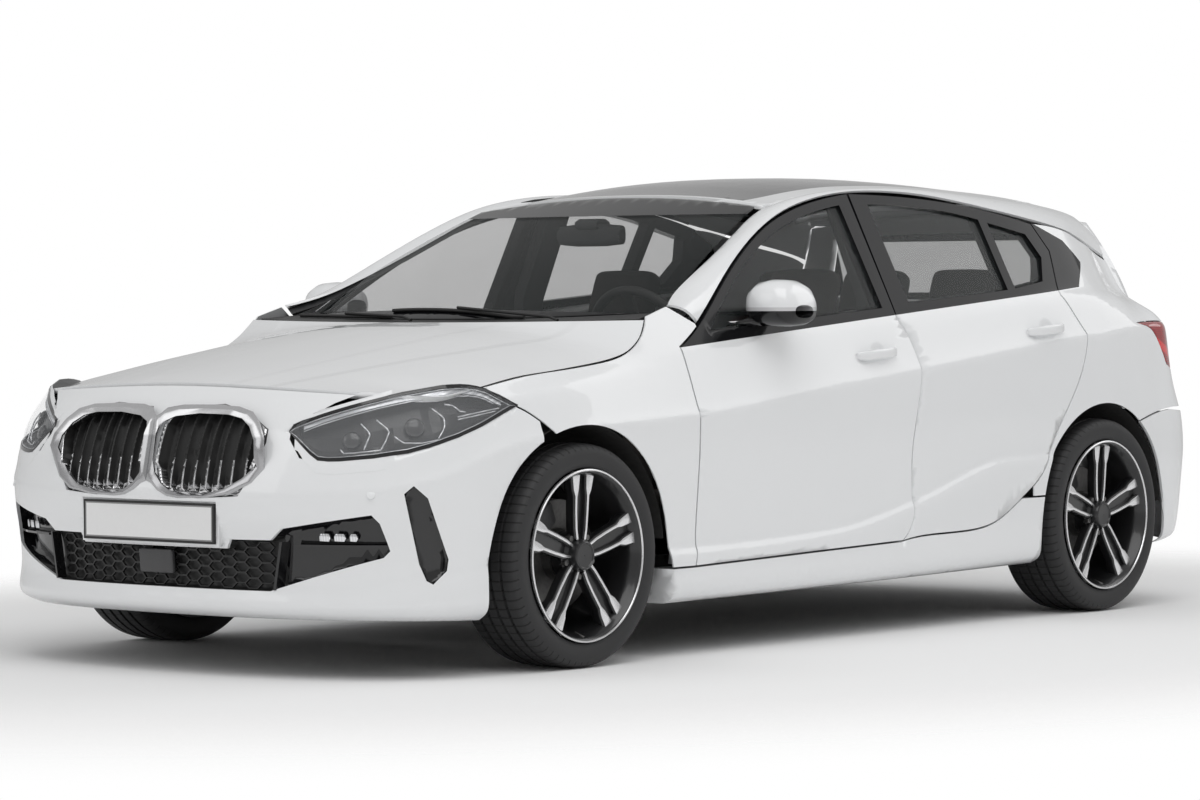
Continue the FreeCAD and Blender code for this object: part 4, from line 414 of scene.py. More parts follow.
def thicken(piece, shift):
    """Pulls the whole flat piece out along a vector into a closed solid."""
    with editing(piece):
        bpy.ops.mesh.extrude_region_move(TRANSFORM_OT_translate={"value": Vector(shift)})
        bpy.ops.mesh.select_all(action="SELECT")
        bpy.ops.mesh.normals_make_consistent(inside=False)
    return piece


def turned(name, section, steps, angle, material):
    """A ring turned about the axle from a section of places along it and radii."""
    ring = drawn(name, [(0, y, radius) for y, radius in section])
    with editing(ring):
        bpy.ops.mesh.spin(steps=steps, angle=2 * math.pi, center=(0, 0, 0), axis=(0, 1, 0))
        bpy.ops.mesh.select_all(action="SELECT")
        bpy.ops.mesh.remove_doubles(threshold=0.00005)
        bpy.ops.mesh.normals_make_consistent(inside=False)
    smoothed(ring, angle)
    if material:
        ring.data.materials.append(material)
    return ring


def bevelled(piece, width, segments=2):
    """Rounds a piece's sharp edges."""
    applied(piece, "BEVEL", width=width, segments=segments, limit_method="ANGLE",
            angle_limit=math.radians(35))
    return smoothed(piece, 30)


def stud(vertices, radius, depth, place, tilt, edge, material):
    """A short rod with rounded ends, turned about the car's length."""
    bpy.ops.object.select_all(action="DESELECT")
    bpy.ops.mesh.primitive_cylinder_add(vertices=vertices, radius=radius, depth=depth, location=place,
                                        rotation=(tilt, 0, 0))
    made = bpy.context.object
    bpy.ops.object.transform_apply(location=True, rotation=True, scale=True)
    bevelled(made, edge)
    made.data.materials.append(material)
    return made


def joined(pieces, name):
    """Joins pieces into one."""
    bpy.ops.object.select_all(action="DESELECT")
    for piece in pieces:
        piece.select_set(True)
    bpy.context.view_layer.objects.active = pieces[0]
    if len(pieces) > 1:
        bpy.ops.object.join()
    whole = bpy.context.object
    whole.name = whole.data.name = name
    return whole


def moved(piece, matrix, name):
    """A copy with its own mesh, carried to a new place and kept right side out."""
    mesh = piece.data.copy()
    mesh.transform(matrix)
    if matrix.determinant() < 0:
        mesh.flip_normals()
    copy = bpy.data.objects.new(name, mesh)
    mesh.name = name
    bpy.context.collection.objects.link(copy)
    return copy


def mottled(name, first, second, scale, relief=None, detail=2.0, **constants):
    """A finish that wanders between two colours, with a fine relief of a strength and a depth."""
    material, shader, place = finish(name, **constants)[:3]
    cloud = place.node("ShaderNodeTexNoise", {"Vector": place, "Scale": scale, "Detail": detail})
    cloud.mix(first + (1,), second + (1,)).put(shader.inputs["Base Color"])
    if relief:
        bump(place, cloud, *relief).put(shader.inputs["Normal"])
    return material


bright_alloy = mottled("turned_alloy", (0.80, 0.80, 0.81), (0.88, 0.88, 0.89), 260.0, (0.08, 0.0002),
                       Metallic=0.9, Roughness=0.26)
black_alloy = mottled("black_alloy", (0.010, 0.010, 0.011), (0.020, 0.020, 0.021), 400.0, (0.05, 0.0002),
                      Metallic=0.2, Roughness=0.3, Coat_Weight=0.6, Coat_Roughness=0.08)
dark_iron = mottled("brake_iron", (0.10, 0.10, 0.10), (0.19, 0.185, 0.18), 90.0, (0.1, 0.0003), 4.0,
                    Metallic=0.75, Roughness=0.42)


def face_out(radius):
    """How far the wheel's face stands out from its middle plane, by radius."""
    return FACE_PLACE + FACE_DISHING * (radius / RIM_EDGE) ** 2


def sector():
    """One pair of spokes pointing up, with the web between them and a bolt beside the cap."""
    parts = []
    for side in (-1, 1):
        inner = [(side * near, radius) for radius, near, far in SPOKE_RIDGE]
        outer = [(side * far, radius) for radius, near, far in SPOKE_RIDGE]
        loop = inner + outer[::-1]
        ridge = drawn("ridge", [(x, face_out(z), z) for x, z in loop], face=True)
        thicken(ridge, (0, -RIDGE_THICK, 0))
        bevelled(ridge, RIDGE_EDGE)
        ridge.data.materials.append(bright_alloy)
        wide = [(side * (near - 0.004), radius) for radius, near, far in SPOKE_RIDGE]
        wide += [(side * (far + 0.005), radius) for radius, near, far in SPOKE_RIDGE[::-1]]
        under = drawn("under", [(x, face_out(z) - RIDGE_THICK - 0.0001, z) for x, z in wide], face=True)
        thicken(under, (0, -POCKET_DEPTH, 0))
        bevelled(under, POCKET_EDGE)
        under.data.materials.append(black_alloy)
        parts += [ridge, under]
    web = drawn("web", [(x, face_out(z) - WEB_SINK, z) for x, z in WEB_OUTLINE], face=True)
    thicken(web, (0, -WEB_THICK, 0))
    web.data.materials.append(black_alloy)
    between = Matrix.Rotation(math.radians(36), 4, "Y") @ BOLT_PLACE
    bolt = stud(6, 0.0095, 0.022, between, math.pi / 2, 0.0015, dark_iron)
    return joined(parts + [web, bolt], "sector")


one = sector()
sectors = [one]
for i in range(1, 5):
    sectors.append(moved(one, Matrix.Rotation(math.radians(72 * i), 4, "Y"), "sector"))
wheel = joined(sectors + [
    turned("barrel", BARREL_SECTION, 96, 40, black_alloy), turned("lip", LIP_SECTION, 96, 40, bright_alloy),
    turned("cap", CAP_SECTION, 60, 35, black_alloy),
    stud(12, 0.0035, 0.034, VALVE_PLACE, math.pi / 2.6, 0.001, dark_iron),
    turned("brake_disc", DISC_SECTION, 72, 30, dark_iron),
], "wheel_pattern")

# Tyres: black rubber carcass with a rounded sidewall, four grooves round the tread and short cuts across the
# shoulders. The section is drawn once and spun about each axle.
TYRE_SECTION = (
    (-0.0985, 0.2470), (-0.1040, 0.2490), (-0.1085, 0.2580), (-0.1120, 0.2740), (-0.1124, 0.2880),
    (-0.1098, 0.3000), (-0.1040, 0.3085), (-0.0950, 0.3140), (-0.0800, 0.3166), (-0.0640, 0.3174),
    (-0.0625, 0.3105), (-0.0545, 0.3105), (-0.0530, 0.3178), (-0.0250, 0.3184), (-0.0235, 0.3112),
    (-0.0150, 0.3112), (-0.0135, 0.3185),
)
TREAD_CUTS = 72.0
SHOULDER = (0.2985, 0.3030)
BEAD_RINGS = (0.258, 0.262)
rubber_by_axle = {}
for axle, axle_x in AXLES.items():
    rubber, shader, place, axes = finish("tyre_rubber_" + axle, Roughness=0.62)
    east = axes[0] - axle_x
    rise = axes[2] - HUB_HEIGHT
    radius = (east * east + rise * rise).math("SQRT")
    angle = rise.math("ARCTAN2", east)
    cuts = (angle * TREAD_CUTS + (radius - 0.28) * 60.0).math("SINE").ramp(0.80, 0.95)
    shoulder = radius.ramp(*SHOULDER)
    side_rings = (radius * 1400.0).math("SINE") * (1 - radius.ramp(*BEAD_RINGS))
    grain = place.node("ShaderNodeTexNoise", {"Vector": place, "Scale": 350.0, "Detail": 3.0})
    height = cuts * shoulder * -1.0 + side_rings * 0.08 + grain * 0.05
    bump(place, height, 0.9, 0.0030).put(shader.inputs["Normal"])
    # The short cuts across the shoulders are coloured darker than the rubber round them: painted shade in the
    # cuts.
    (cuts * shoulder).mix((0.024, 0.024, 0.025, 1), (0.006, 0.006, 0.006, 1)).put(shader.inputs["Base Color"])
    rubber_by_axle[axle] = rubber


def at_corner(axle_x, sign):
    """Carries a left wheel's part from the origin to its axle, mirrored for sign -1."""
    return Matrix.Translation((axle_x, sign * WHEEL_OUT, HUB_HEIGHT)) @ Matrix.Diagonal((1, sign, 1, 1))


section = TYRE_SECTION + tuple((-y, r) for y, r in TYRE_SECTION[::-1]) + (TYRE_SECTION[0],)
tyre = turned("tyre_pattern", section, 120, 38, None)
for axle, axle_x in AXLES.items():
    for side, sign in SIDES:
        body = "wheel_" + axle + "_" + side
        spot = at_corner(axle_x, sign)
        own_tyre = moved(tyre, spot, "tyre_tread_" + axle + "_" + side)
        own_tyre.data.materials.append(rubber_by_axle[axle])
        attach(own_tyre, body)
        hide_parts("tyre_" + axle + "_" + side)
        own_wheel = moved(wheel, spot, "spoked_wheel_" + axle + "_" + side)
        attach(own_wheel, body)
        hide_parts("rim_" + axle + "_" + side)
for pattern in (wheel, tyre):
    bpy.data.objects.remove(pattern)

# Glass: the bonded windscreen with its black printed border and shaded top band, and the side and rear panes.
# All are tinted, and let the cabin be made out.
GLASS_GREEN = (0.030, 0.036, 0.036, 1)
GLASS_DARK = (0.020, 0.024, 0.024, 1)
PRINT_BLACK = (0.004, 0.004, 0.005, 1)
SCREEN_PRINT_TOP, SCREEN_PRINT_FOOT, SCREEN_PRINT_SIDE = 1.300, 1.010, 1.0905
BACK_PRINT = (0.520, 1.055, 1.235)


def glass_material(name, tint, seen_through, border=None):
    """Tinted glass that is see-through by a share, and black where border says so."""
    material, shader, place, axes = finish(name, Roughness=0.02, Specular_IOR_Level=0.6)
    haze = place.node("ShaderNodeTexNoise", {"Vector": place, "Scale": 3.0, "Detail": 2.0})
    cover = haze * 0.04 + (0.98 - seen_through)
    printed = border(axes) if border else haze * 0.0
    cover.math("MAXIMUM", printed).put(shader.inputs["Alpha"])
    printed.mix(tint, PRINT_BLACK).put(shader.inputs["Base Color"])
    return material


def outside(axes, half, low, high):
    """1 outside an upright rectangle on the car's middle."""
    across = axes[1].math("ABSOLUTE").over(half)
    return across.math("MAXIMUM", axes[2].over(high)).math("MAXIMUM", (low - axes[2]).over(0.0))


def screen_border(axes):
    """Black print along the foot, the sides and, wider, along the top of the windscreen."""
    across = axes[1].math("ABSOLUTE")
    edge = SCREEN_PRINT_SIDE - axes[2] * 0.385
    foot = (SCREEN_PRINT_FOOT - axes[2] - across * across * 0.035).over(0.0)
    return across.over(edge).math("MAXIMUM", axes[2].over(SCREEN_PRINT_TOP)).math("MAXIMUM", foot)


def back_border(axes):
    """Black print round the rear window."""
    return outside(axes, *BACK_PRINT)


windscreen_glass = glass_material("windscreen_glass", GLASS_GREEN, 0.78, screen_border)
side_glass = glass_material("side_glass", GLASS_GREEN, 0.80)
dark_glass = glass_material("rear_side_glass", GLASS_GREEN, 0.76)
back_glass = glass_material("back_glass", GLASS_DARK, 0.66, back_border)
dress("windscreen", "windscreen_pane", windscreen_glass, 60)
dress("rear_window", "rear_window_pane", back_glass, 60)
for side in ("left", "right"):
    dress("glass_front_" + side, "front_door_pane_" + side, side_glass, 60)
    dress("glass_rear_" + side, "rear_door_pane_" + side, dark_glass, 60)

# The roof: white skin at its edges, with a dark glass field over the cabin.
ROOF_GLASS_HALF = 0.470
ROOF_GLASS_ENDS = (-1.02, 0.035)
roof_paint, shader, place, axes = finish("roof_with_glass", Coat_Weight=1.0, Coat_Roughness=0.03,
                                         Roughness=0.34)
field = (ROOF_GLASS_HALF - axes[1].math("ABSOLUTE")).over(0.0) * (axes[0] - ROOF_GLASS_ENDS[0]).over(0.0)
field = field * (ROOF_GLASS_ENDS[1] - axes[0]).over(0.0)
field.mix(PAINT_WHITE, (0.006, 0.006, 0.007, 1)).put(shader.inputs["Base Color"])
dress("roof_panel", "roof_skin", roof_paint)

# The kidney grilles: bright satin rims and upright slats with bright front edges, over a black duct.
# The nose's skin is given by levels: the heights, how far each is set back and half its breadth.
NOSE_START = 1.65954
NOSE_DEPTH = 0.49996
NOSE_POWER = 2.5
NOSE_LEVELS = (0.157, 0.179, 0.212, 0.285, 0.315, 0.420, 0.521, 0.585, 0.618, 0.640, 0.680, 0.746, 0.797)
NOSE_SETBACKS = (0.0750, 0.0397, 0.0280, 0.0362, 0.0328, 0.0220, 0.0078, 0.0030, 0.0, 0.0022, 0.0181, 0.0647,
                 0.1552)
NOSE_BREADTHS = (0.823, 0.856, 0.865, 0.860, 0.853, 0.860, 0.862, 0.865, 0.8655, 0.857, 0.846, 0.8315, 0.800)


def nose(y, z):
    """Forward reach of the nose's skin at a breadth and a height."""
    level = min(max(z, NOSE_LEVELS[0]), NOSE_LEVELS[-1] - 1e-6)
    i = max(k for k in range(len(NOSE_LEVELS) - 1) if NOSE_LEVELS[k] <= level)
    share = (level - NOSE_LEVELS[i]) / (NOSE_LEVELS[i + 1] - NOSE_LEVELS[i])
    setback = NOSE_SETBACKS[i] + (NOSE_SETBACKS[i + 1] - NOSE_SETBACKS[i]) * share
    breadth = NOSE_BREADTHS[i] + (NOSE_BREADTHS[i + 1] - NOSE_BREADTHS[i]) * share
    reach = max(0.0, 1 - min(1.0, abs(y) / breadth) ** NOSE_POWER) ** (1 / NOSE_POWER)
    return NOSE_START + (NOSE_DEPTH - setback) * reach


def dress_by_face(node, name, materials, choose):
    """As dress, with the material of each face chosen from its centre and normal."""
    piece = dress(node, name, materials[0])
    for material in materials[1:]:
        piece.data.materials.append(material)
    for polygon in piece.data.polygons:
        polygon.material_index = choose(polygon.center, polygon.normal)
    return piece


satin_chrome = mottled("satin_chrome", (0.60, 0.60, 0.61), (0.72, 0.72, 0.73), 120.0, (0.05, 0.0002),
                       Metallic=1.0, Roughness=0.24)
black_plastic = mottled("black_plastic", (0.010, 0.010, 0.010), (0.020, 0.020, 0.020), 500.0, (0.2, 0.0004),
                        Roughness=0.5)
gloss_black = mottled("gloss_black", (0.006, 0.006, 0.007), (0.010, 0.010, 0.011), 20.0,
                      Roughness=0.10, Coat_Weight=0.5, Coat_Roughness=0.03)
RIM_DEPTH = 0.019
FACE_DEPTH = 0.031
RIM_FRONT = 0.006
RIM_SINK = 0.016


def bright_or_black(centre, normal):
    """Bright metal on the rim and the slats' front edges, black behind."""
    depth = nose(centre.y, centre.z) - centre.x
    return 0 if depth < RIM_DEPTH or (normal.x > 0.5 and depth < FACE_DEPTH) else 1


kidneys = dress_by_face("kidney_grilles", "kidney_grilles_dressed", (satin_chrome, black_plastic),
                        bright_or_black)
# The rims' front edges sink behind the frame that is laid round them.
for vertex in kidneys.data.vertices:
    if nose(vertex.co.y, vertex.co.z) - vertex.co.x < RIM_FRONT:
        vertex.co.x -= RIM_SINK


def settled(piece, lift, cuts=0):
    """Sets a flat piece's vertices on the nose's skin, raised by lift over their own place from x = 0."""
    if cuts:
        with editing(piece):
            bpy.ops.mesh.subdivide(number_cuts=cuts)
    for vertex in piece.data.vertices:
        vertex.co.x += nose(vertex.co.y, vertex.co.z) + lift
    return piece


# The frame: one broad satin band round both kidneys, raised along its middle and dipping into the openings,
# with a post between them and a notch at the top and the bottom of the post. Its outlines are given as
# breadths and heights, and its section as shares of the way inwards and heights over the skin.
FRAME_OUTER = (
    (0.000, 0.7215), (0.012, 0.7270), (0.030, 0.7440), (0.082, 0.7527), (0.187, 0.7540), (0.288, 0.7500),
    (0.345, 0.7363), (0.3845, 0.7080), (0.418, 0.6640), (0.425, 0.6300), (0.417, 0.5800), (0.384, 0.5430),
    (0.322, 0.5110), (0.232, 0.4978), (0.126, 0.4951), (0.082, 0.5002), (0.046, 0.5153), (0.020, 0.5340),
    (0.000, 0.5400),
)
FRAME_INNER = (
    (0.024, 0.670), (0.024, 0.690), (0.033, 0.704), (0.070, 0.720), (0.155, 0.729), (0.260, 0.727),
    (0.315, 0.717), (0.352, 0.696), (0.382, 0.659), (0.390, 0.625), (0.381, 0.585), (0.344, 0.553),
    (0.290, 0.524), (0.215, 0.509), (0.140, 0.5083), (0.092, 0.515), (0.056, 0.535), (0.030, 0.564),
    (0.024, 0.600),
)
FRAME_SECTION = (
    (0.0, -0.0030), (0.0, 0.0006), (0.06, 0.0016), (0.42, 0.0030), (0.97, -0.0060), (1.0, -0.0110),
    (0.5, -0.0030),
)
BAND_HEIGHT = 0.668


def lofted(name, loops, wrap=False):
    """A skin through closed loops of equally many points; wrap joins the last loop to the first."""
    shape = drawn(name, list(loops[0]))
    bpy.ops.object.mode_set(mode="EDIT")
    solid = bmesh.from_edit_mesh(shape.data)
    solid.verts.ensure_lookup_table()
    solid.edges.new((solid.verts[-1], solid.verts[0]))
    bmesh.update_edit_mesh(shape.data)
    bpy.ops.mesh.select_all(action="SELECT")
    targets = list(loops[1:]) + ([loops[0]] if wrap else [])
    before = loops[0]
    for target in targets:
        bpy.ops.mesh.extrude_edges_move()
        solid = bmesh.from_edit_mesh(shape.data)
        for vertex in [v for v in solid.verts if v.select]:
            gaps = [(vertex.co - Vector(point)).length for point in before]
            vertex.co = target[gaps.index(min(gaps))]
        bmesh.update_edit_mesh(shape.data)
        before = target
    bpy.ops.mesh.select_all(action="SELECT")
    bpy.ops.mesh.remove_doubles(threshold=0.00002)
    bpy.ops.mesh.normals_make_consistent(inside=False)
    bpy.ops.object.mode_set(mode="OBJECT")
    return shape


def mirrored(piece, sign, name):
    """A copy for the left side, or with sign -1 for the right one."""
    return moved(piece, Matrix.Diagonal((1, sign, 1, 1)), name)


def surface_tree(nodes):
    """The joined surface of some CAD nodes, for setting pieces on it."""
    solid = bmesh.new()
    for node in nodes:
        mesh = bpy.data.objects[node].data.copy()
        mesh.transform(bpy.data.objects[node].matrix_world)
        solid.from_mesh(mesh)
        bpy.data.meshes.remove(mesh)
    tree = BVHTree.FromBMesh(solid)
    solid.free()
    return tree


front_tree = surface_tree(("front_bumper", "kidney_grilles"))


def skin_x(y, z):
    """Forward reach of the real skin, or of the plain nose where there is an opening."""
    hit = front_tree.ray_cast(Vector((2.4, y, z)), Vector((-1, 0, 0)))[0]
    plain = nose(y, z)
    return hit.x if hit and abs(hit.x - plain) < 0.012 else plain


loops = []
for share, lift in FRAME_SECTION:
    loop = []
    for (a, b), (c, d) in zip(FRAME_OUTER, FRAME_INNER):
        shift = skin_x(a, b) - nose(a, b)
        y, z = a + (c - a) * share, b + (d - b) * share
        loop.append((nose(y, z) + shift + lift, y, z))
    loops.append(loop)
half_frame = smoothed(lofted("kidney_frame", loops, wrap=True), 40)
kidney_frame = joined([half_frame, mirrored(half_frame, -1, "kidney_frame")], "kidney_frame")
frame_chrome, shader, place, axes = finish("frame_chrome", Metallic=1.0, Roughness=0.22)
# The frame is one chrome, coloured darker below the band's height than above it: painted shade on its lower
# half.
painted_shade_below = (BAND_HEIGHT - axes[2]).ramp(-0.004, 0.004)
brushed = place.node("ShaderNodeTexNoise", {"Vector": place, "Scale": 120.0, "Detail": 2.0})
plain_chrome_tone = brushed.mix((0.66, 0.66, 0.67, 1), (0.74, 0.74, 0.75, 1))
painted_shade_tone = brushed.mix((0.44, 0.44, 0.45, 1), (0.50, 0.50, 0.51, 1))
painted_shade_below.mix(plain_chrome_tone, painted_shade_tone).put(shader.inputs["Base Color"])
kidney_frame.data.materials.append(frame_chrome)
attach(kidney_frame, "body")

# The lower intake: one black moulding with a mesh of flat hexagons, a grey sensor cover in its middle and,
# at each end behind a slanting rib, a gloss recess that carries the fog lamps. Gloss black slots stand at
# the corners. Outlines are given as breadths and heights, and layers as thicknesses and places of the back,
# from the nose's skin.
HEXAGON_PITCH = (0.0465, 0.0290)
HEXAGON_WALL = 0.0022
MESH_FOOT, MESH_TOP = 0.262, 0.375
MESH_DEPTH, MESH_THICK = 0.032, 0.008
MESH_LEFT_OUT = (0.078, 0.277, 0.345)
INTAKE_HALF = 0.445
COVER_OUTLINE = ((-0.066, 0.280), (0.066, 0.280), (0.066, 0.348), (-0.066, 0.348))
FOG_LENSES = ((0.560, 0.590), (0.600, 0.630), (0.640, 0.660))
SHELF_OUTLINE = ((0.490, 0.368), (0.730, 0.368), (0.732, 0.374), (0.490, 0.374))
RIB_OUTLINE = ((0.430, 0.247), (0.438, 0.247), (0.462, 0.380), (0.454, 0.380))
COVER_LAYER, LENS_LAYER = (0.016, -0.022), (0.006, -0.024)
SHELF_LAYER, RIB_LAYER = (0.020, -0.032), (0.034, -0.036)
COVER_EDGE, LENS_EDGE = 0.006, 0.0015


def intake_or_gloss(centre, normal):
    """Grained plastic in the intake, gloss in the fog recesses and slots."""
    return 0 if abs(centre.y) < INTAKE_HALF else 1


def sheet_on_nose(name, outline, sign, layer, material, cuts=0):
    """A flat piece with an outline of breadths and heights, thickened and set on the nose's skin."""
    thickness, lift = layer
    piece = thicken(drawn(name, [(0, sign * y, z) for y, z in outline], face=True), (thickness, 0, 0))
    settled(piece, lift, cuts)
    piece.data.materials.append(material)
    return piece


dress_by_face("lower_grille", "lower_grille_dressed", (black_plastic, gloss_black),
              intake_or_gloss)
cells = []
for column in range(-9, 10):
    for row in range(0, 5):
        y = column * HEXAGON_PITCH[0] * 0.93
        z = MESH_FOOT + row * HEXAGON_PITCH[1] + (HEXAGON_PITCH[1] / 2 if column % 2 else 0)
        if z > MESH_TOP or (abs(y) < MESH_LEFT_OUT[0] and MESH_LEFT_OUT[1] < z < MESH_LEFT_OUT[2]):
            continue
        bpy.ops.object.select_all(action="DESELECT")
        bpy.ops.mesh.primitive_circle_add(vertices=6, radius=0.5, fill_type="NGON")
        cell = bpy.context.object
        cell.data.transform(Matrix.Diagonal((HEXAGON_PITCH[1] * 1.13, HEXAGON_PITCH[0] * 1.30, 1, 1)))
        with editing(cell):
            bpy.ops.mesh.inset(thickness=HEXAGON_WALL)
            bpy.ops.mesh.delete(type="ONLY_FACE")
        cell.data.transform(Matrix(((0, 0, 1, 0), (0, 1, 0, y), (1, 0, 0, z), (0, 0, 0, 1))))
        cells.append(cell)
mesh_grid = joined(cells, "intake_mesh")
thicken(mesh_grid, (MESH_THICK, 0, 0))
settled(mesh_grid, -MESH_DEPTH)
mesh_grid.data.materials.append(mottled("mesh_black", (0.018, 0.018, 0.018), (0.030, 0.030, 0.030), 60.0,
                                        Roughness=0.32))
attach(mesh_grid, "body")

sensor_grey = mottled("sensor_grey", (0.050, 0.050, 0.052), (0.062, 0.062, 0.064), 30.0, Roughness=0.38)
cover = bevelled(sheet_on_nose("sensor_cover", COVER_OUTLINE, 1, COVER_LAYER, sensor_grey), COVER_EDGE, 4)
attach(cover, "body")

lamp_glow, shader, place, axes = finish("lamp_reflector", Metallic=1.0, Roughness=0.12)
flute = (axes[1] * 900.0).math("SINE")
flute.mix((0.72, 0.73, 0.75, 1), (0.90, 0.90, 0.92, 1)).put(shader.inputs["Base Color"])
bump(place, flute, 0.3, 0.0006).put(shader.inputs["Normal"])
for side, sign in SIDES:
    parts = []
    for near, far in FOG_LENSES:
        outline = ((near, 0.384), (far - 0.004, 0.383), (far, 0.393), (far - 0.004, 0.405),
                   (near + 0.004, 0.405), (near, 0.397))
        parts.append(bevelled(sheet_on_nose("lens", outline, sign, LENS_LAYER, lamp_glow), LENS_EDGE))
    parts.append(sheet_on_nose("shelf", SHELF_OUTLINE, sign, SHELF_LAYER, gloss_black, 2))
    parts.append(sheet_on_nose("rib", RIB_OUTLINE, sign, RIB_LAYER, gloss_black))
    cluster = joined(parts, "fog_lamp_" + side)
    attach(cluster, "body")

# The number plate: a blank white sheet with a thin dark edge, on a dark carrier.
PLATE_EDGE = (0.2530, 0.3770, 0.4755)
PLATE_LINE = (0.2490, 0.3810, 0.4715)
plate_white, shader, place, axes = finish("plate_white", Roughness=0.35)
fibre = place.node("ShaderNodeTexNoise", {"Vector": place, "Scale": 80.0})
face_white = fibre.mix((0.80, 0.80, 0.80, 1), (0.83, 0.83, 0.83, 1))
lined = outside(axes, *PLATE_LINE).mix(face_white, (0.25, 0.25, 0.25, 1))
outside(axes, *PLATE_EDGE).mix(lined, (0.012, 0.012, 0.012, 1)).put(shader.inputs["Base Color"])
dress("front_plate", "front_plate_blank", plate_white)

# The headlamps: long wedge-shaped units let into the corner of the nose. A clear cover with a black printed
# edge and a fine bright line inside it, a dark bowl, a running-light blade along the top and bright brackets
# round the lamps. The painted panels are cut open for them, and a painted surround closes what is left.
# A layer is given by the heights of its top and bottom over the skin, and a line by its distance from the
# lamp's edge, its height over the skin and its radius.
LAMP_TOP = (
    (2.067, 0.468, 0.686), (2.060, 0.464, 0.700), (2.003, 0.546, 0.735), (1.938, 0.624, 0.763),
    (1.866, 0.700, 0.789), (1.767, 0.765, 0.808), (1.718, 0.782, 0.810), (1.675, 0.793, 0.807),
    (1.638, 0.800, 0.799), (1.591, 0.824, 0.775), (1.536, 0.841, 0.749),
)
LAMP_FOOT = (
    (2.067, 0.470, 0.682), (2.065, 0.536, 0.629), (2.062, 0.564, 0.607), (2.053, 0.587, 0.603),
    (2.030, 0.634, 0.604), (1.979, 0.709, 0.612), (1.913, 0.773, 0.625), (1.852, 0.809, 0.642),
    (1.776, 0.833, 0.665), (1.696, 0.842, 0.690), (1.605, 0.841, 0.723), (1.536, 0.841, 0.748),
)
LAMP_STATIONS = 26
PROJECTORS = (((2.005, 0.640, 0.668), 0.026), ((1.868, 0.765, 0.700), 0.029))
CORNER_START, CORNER_DEPTH, CORNER_BREADTH, CORNER_LEAN = 1.6, 0.56, 0.86, 0.40
BOWL_DEPTHS = (-0.002, -0.024, -0.044)
PRINT_WIDTH = 0.010
LAMP_PLAY = 0.0015
BLADE_EDGES = (0.0135, 0.027)
OPENING_LAYER, CLEAR_LAYER, PRINT_LAYER = (0.030, -0.043), (0.0008, -0.0022), (0.0014, -0.0026)
BLADE_LAYER, SURROUND_LAYER = (-0.008, -0.012), (0.0007, -0.0016)
EDGE_LINE, BLADE_LINE = (0.0125, -0.0028, 0.0014), (0.0315, -0.010, 0.0016)
BRACKET_HEIGHT, BRACKET_RADIUS = -0.016, 0.0022
EYE_HEIGHT = -0.034
BRACKETS = (
    ((1.974, 0.652, 0.710), (1.970, 0.684, 0.683), (1.981, 0.681, 0.660), (1.992, 0.678, 0.640)),
    ((1.945, 0.685, 0.721), (1.934, 0.725, 0.691), (1.946, 0.722, 0.664), (1.963, 0.718, 0.640)),
    ((2.029, 0.622, 0.640), (2.026, 0.634, 0.628), (1.992, 0.684, 0.634), (1.963, 0.718, 0.638)),
    ((1.930, 0.740, 0.676), (1.915, 0.760, 0.657), (1.872, 0.790, 0.655), (1.827, 0.813, 0.664)),
    ((1.813, 0.779, 0.750), (1.793, 0.808, 0.723), (1.800, 0.812, 0.695), (1.826, 0.814, 0.668)),
    ((1.775, 0.793, 0.762), (1.752, 0.806, 0.758), (1.738, 0.820, 0.742), (1.722, 0.826, 0.740)),
    ((1.752, 0.822, 0.726), (1.690, 0.832, 0.735), (1.593, 0.837, 0.747)),
    ((1.752, 0.822, 0.718), (1.690, 0.832, 0.727), (1.610, 0.837, 0.738)),
)


def resampled(chain, count):
    """Evenly spaced points along a chain."""
    points = [Vector(p) for p in chain]
    lengths = [0.0]
    for start, end in zip(points, points[1:]):
        lengths.append(lengths[-1] + (end - start).length)
    evenly = []
    for i in range(count):
        at = lengths[-1] * i / (count - 1)
        k = max(j for j in range(len(points) - 1) if lengths[j] <= at + 1e-9)
        share = (at - lengths[k]) / max(lengths[k + 1] - lengths[k], 1e-9)
        evenly.append(points[k].lerp(points[k + 1], share))
    return evenly


nose_tree = surface_tree(("front_bumper", "fenders", "headlamp_lenses"))


def corner_normal(point):
    """About how the skin of the nose's left corner faces."""
    ahead = (max(point[0] - CORNER_START, 0) / CORNER_DEPTH) ** 1.5 / CORNER_DEPTH
    aside = (abs(point[1]) / CORNER_BREADTH) ** 1.5 / CORNER_BREADTH
    return Vector((ahead, aside, CORNER_LEAN)).normalized()


def on_corner(point, lift):
    """A point set on the skin of the nose's left corner, raised by lift."""
    normal = corner_normal(point)
    hit = nose_tree.ray_cast(Vector(point) + normal * 0.05, -normal, 0.1)[0]
    return (hit or Vector(point)) + normal * lift


def capped(piece):
    """Closes the open ends of a lofted piece and turns its faces outward."""
    with editing(piece):
        bpy.ops.mesh.select_mode(type="EDGE")
        bpy.ops.mesh.select_all(action="DESELECT")
        bpy.ops.mesh.select_non_manifold()
        bpy.ops.mesh.fill()
        bpy.ops.mesh.select_all(action="SELECT")
        bpy.ops.mesh.normals_make_consistent(inside=False)
        bpy.ops.mesh.select_mode(type="VERT")
    return piece


def strip(name, tops, feet, high, low, rows=4):
    """A solid sheet between two chains that follows the corner's skin, from lift high down to lift low."""
    loops = []
    for top, foot in zip(tops, feet):
        across = [top.lerp(foot, k / rows) for k in range(rows + 1)]
        loops.append([on_corner(p, high) for p in across] + [on_corner(p, low) for p in across[::-1]])
    return smoothed(capped(lofted(name, loops)), 35)


def rod(name, points, radius):
    """A round bar along a line of points."""
    line = drawn(name, [tuple(p) for p in points])
    pick(line)
    bpy.ops.object.convert(target="CURVE")
    line = bpy.context.object
    line.data.bevel_depth = radius
    line.data.bevel_resolution = 2
    line.data.use_fill_caps = True
    bpy.ops.object.convert(target="MESH")
    line = bpy.context.object
    line.name = line.data.name = name
    return smoothed(line, 50)


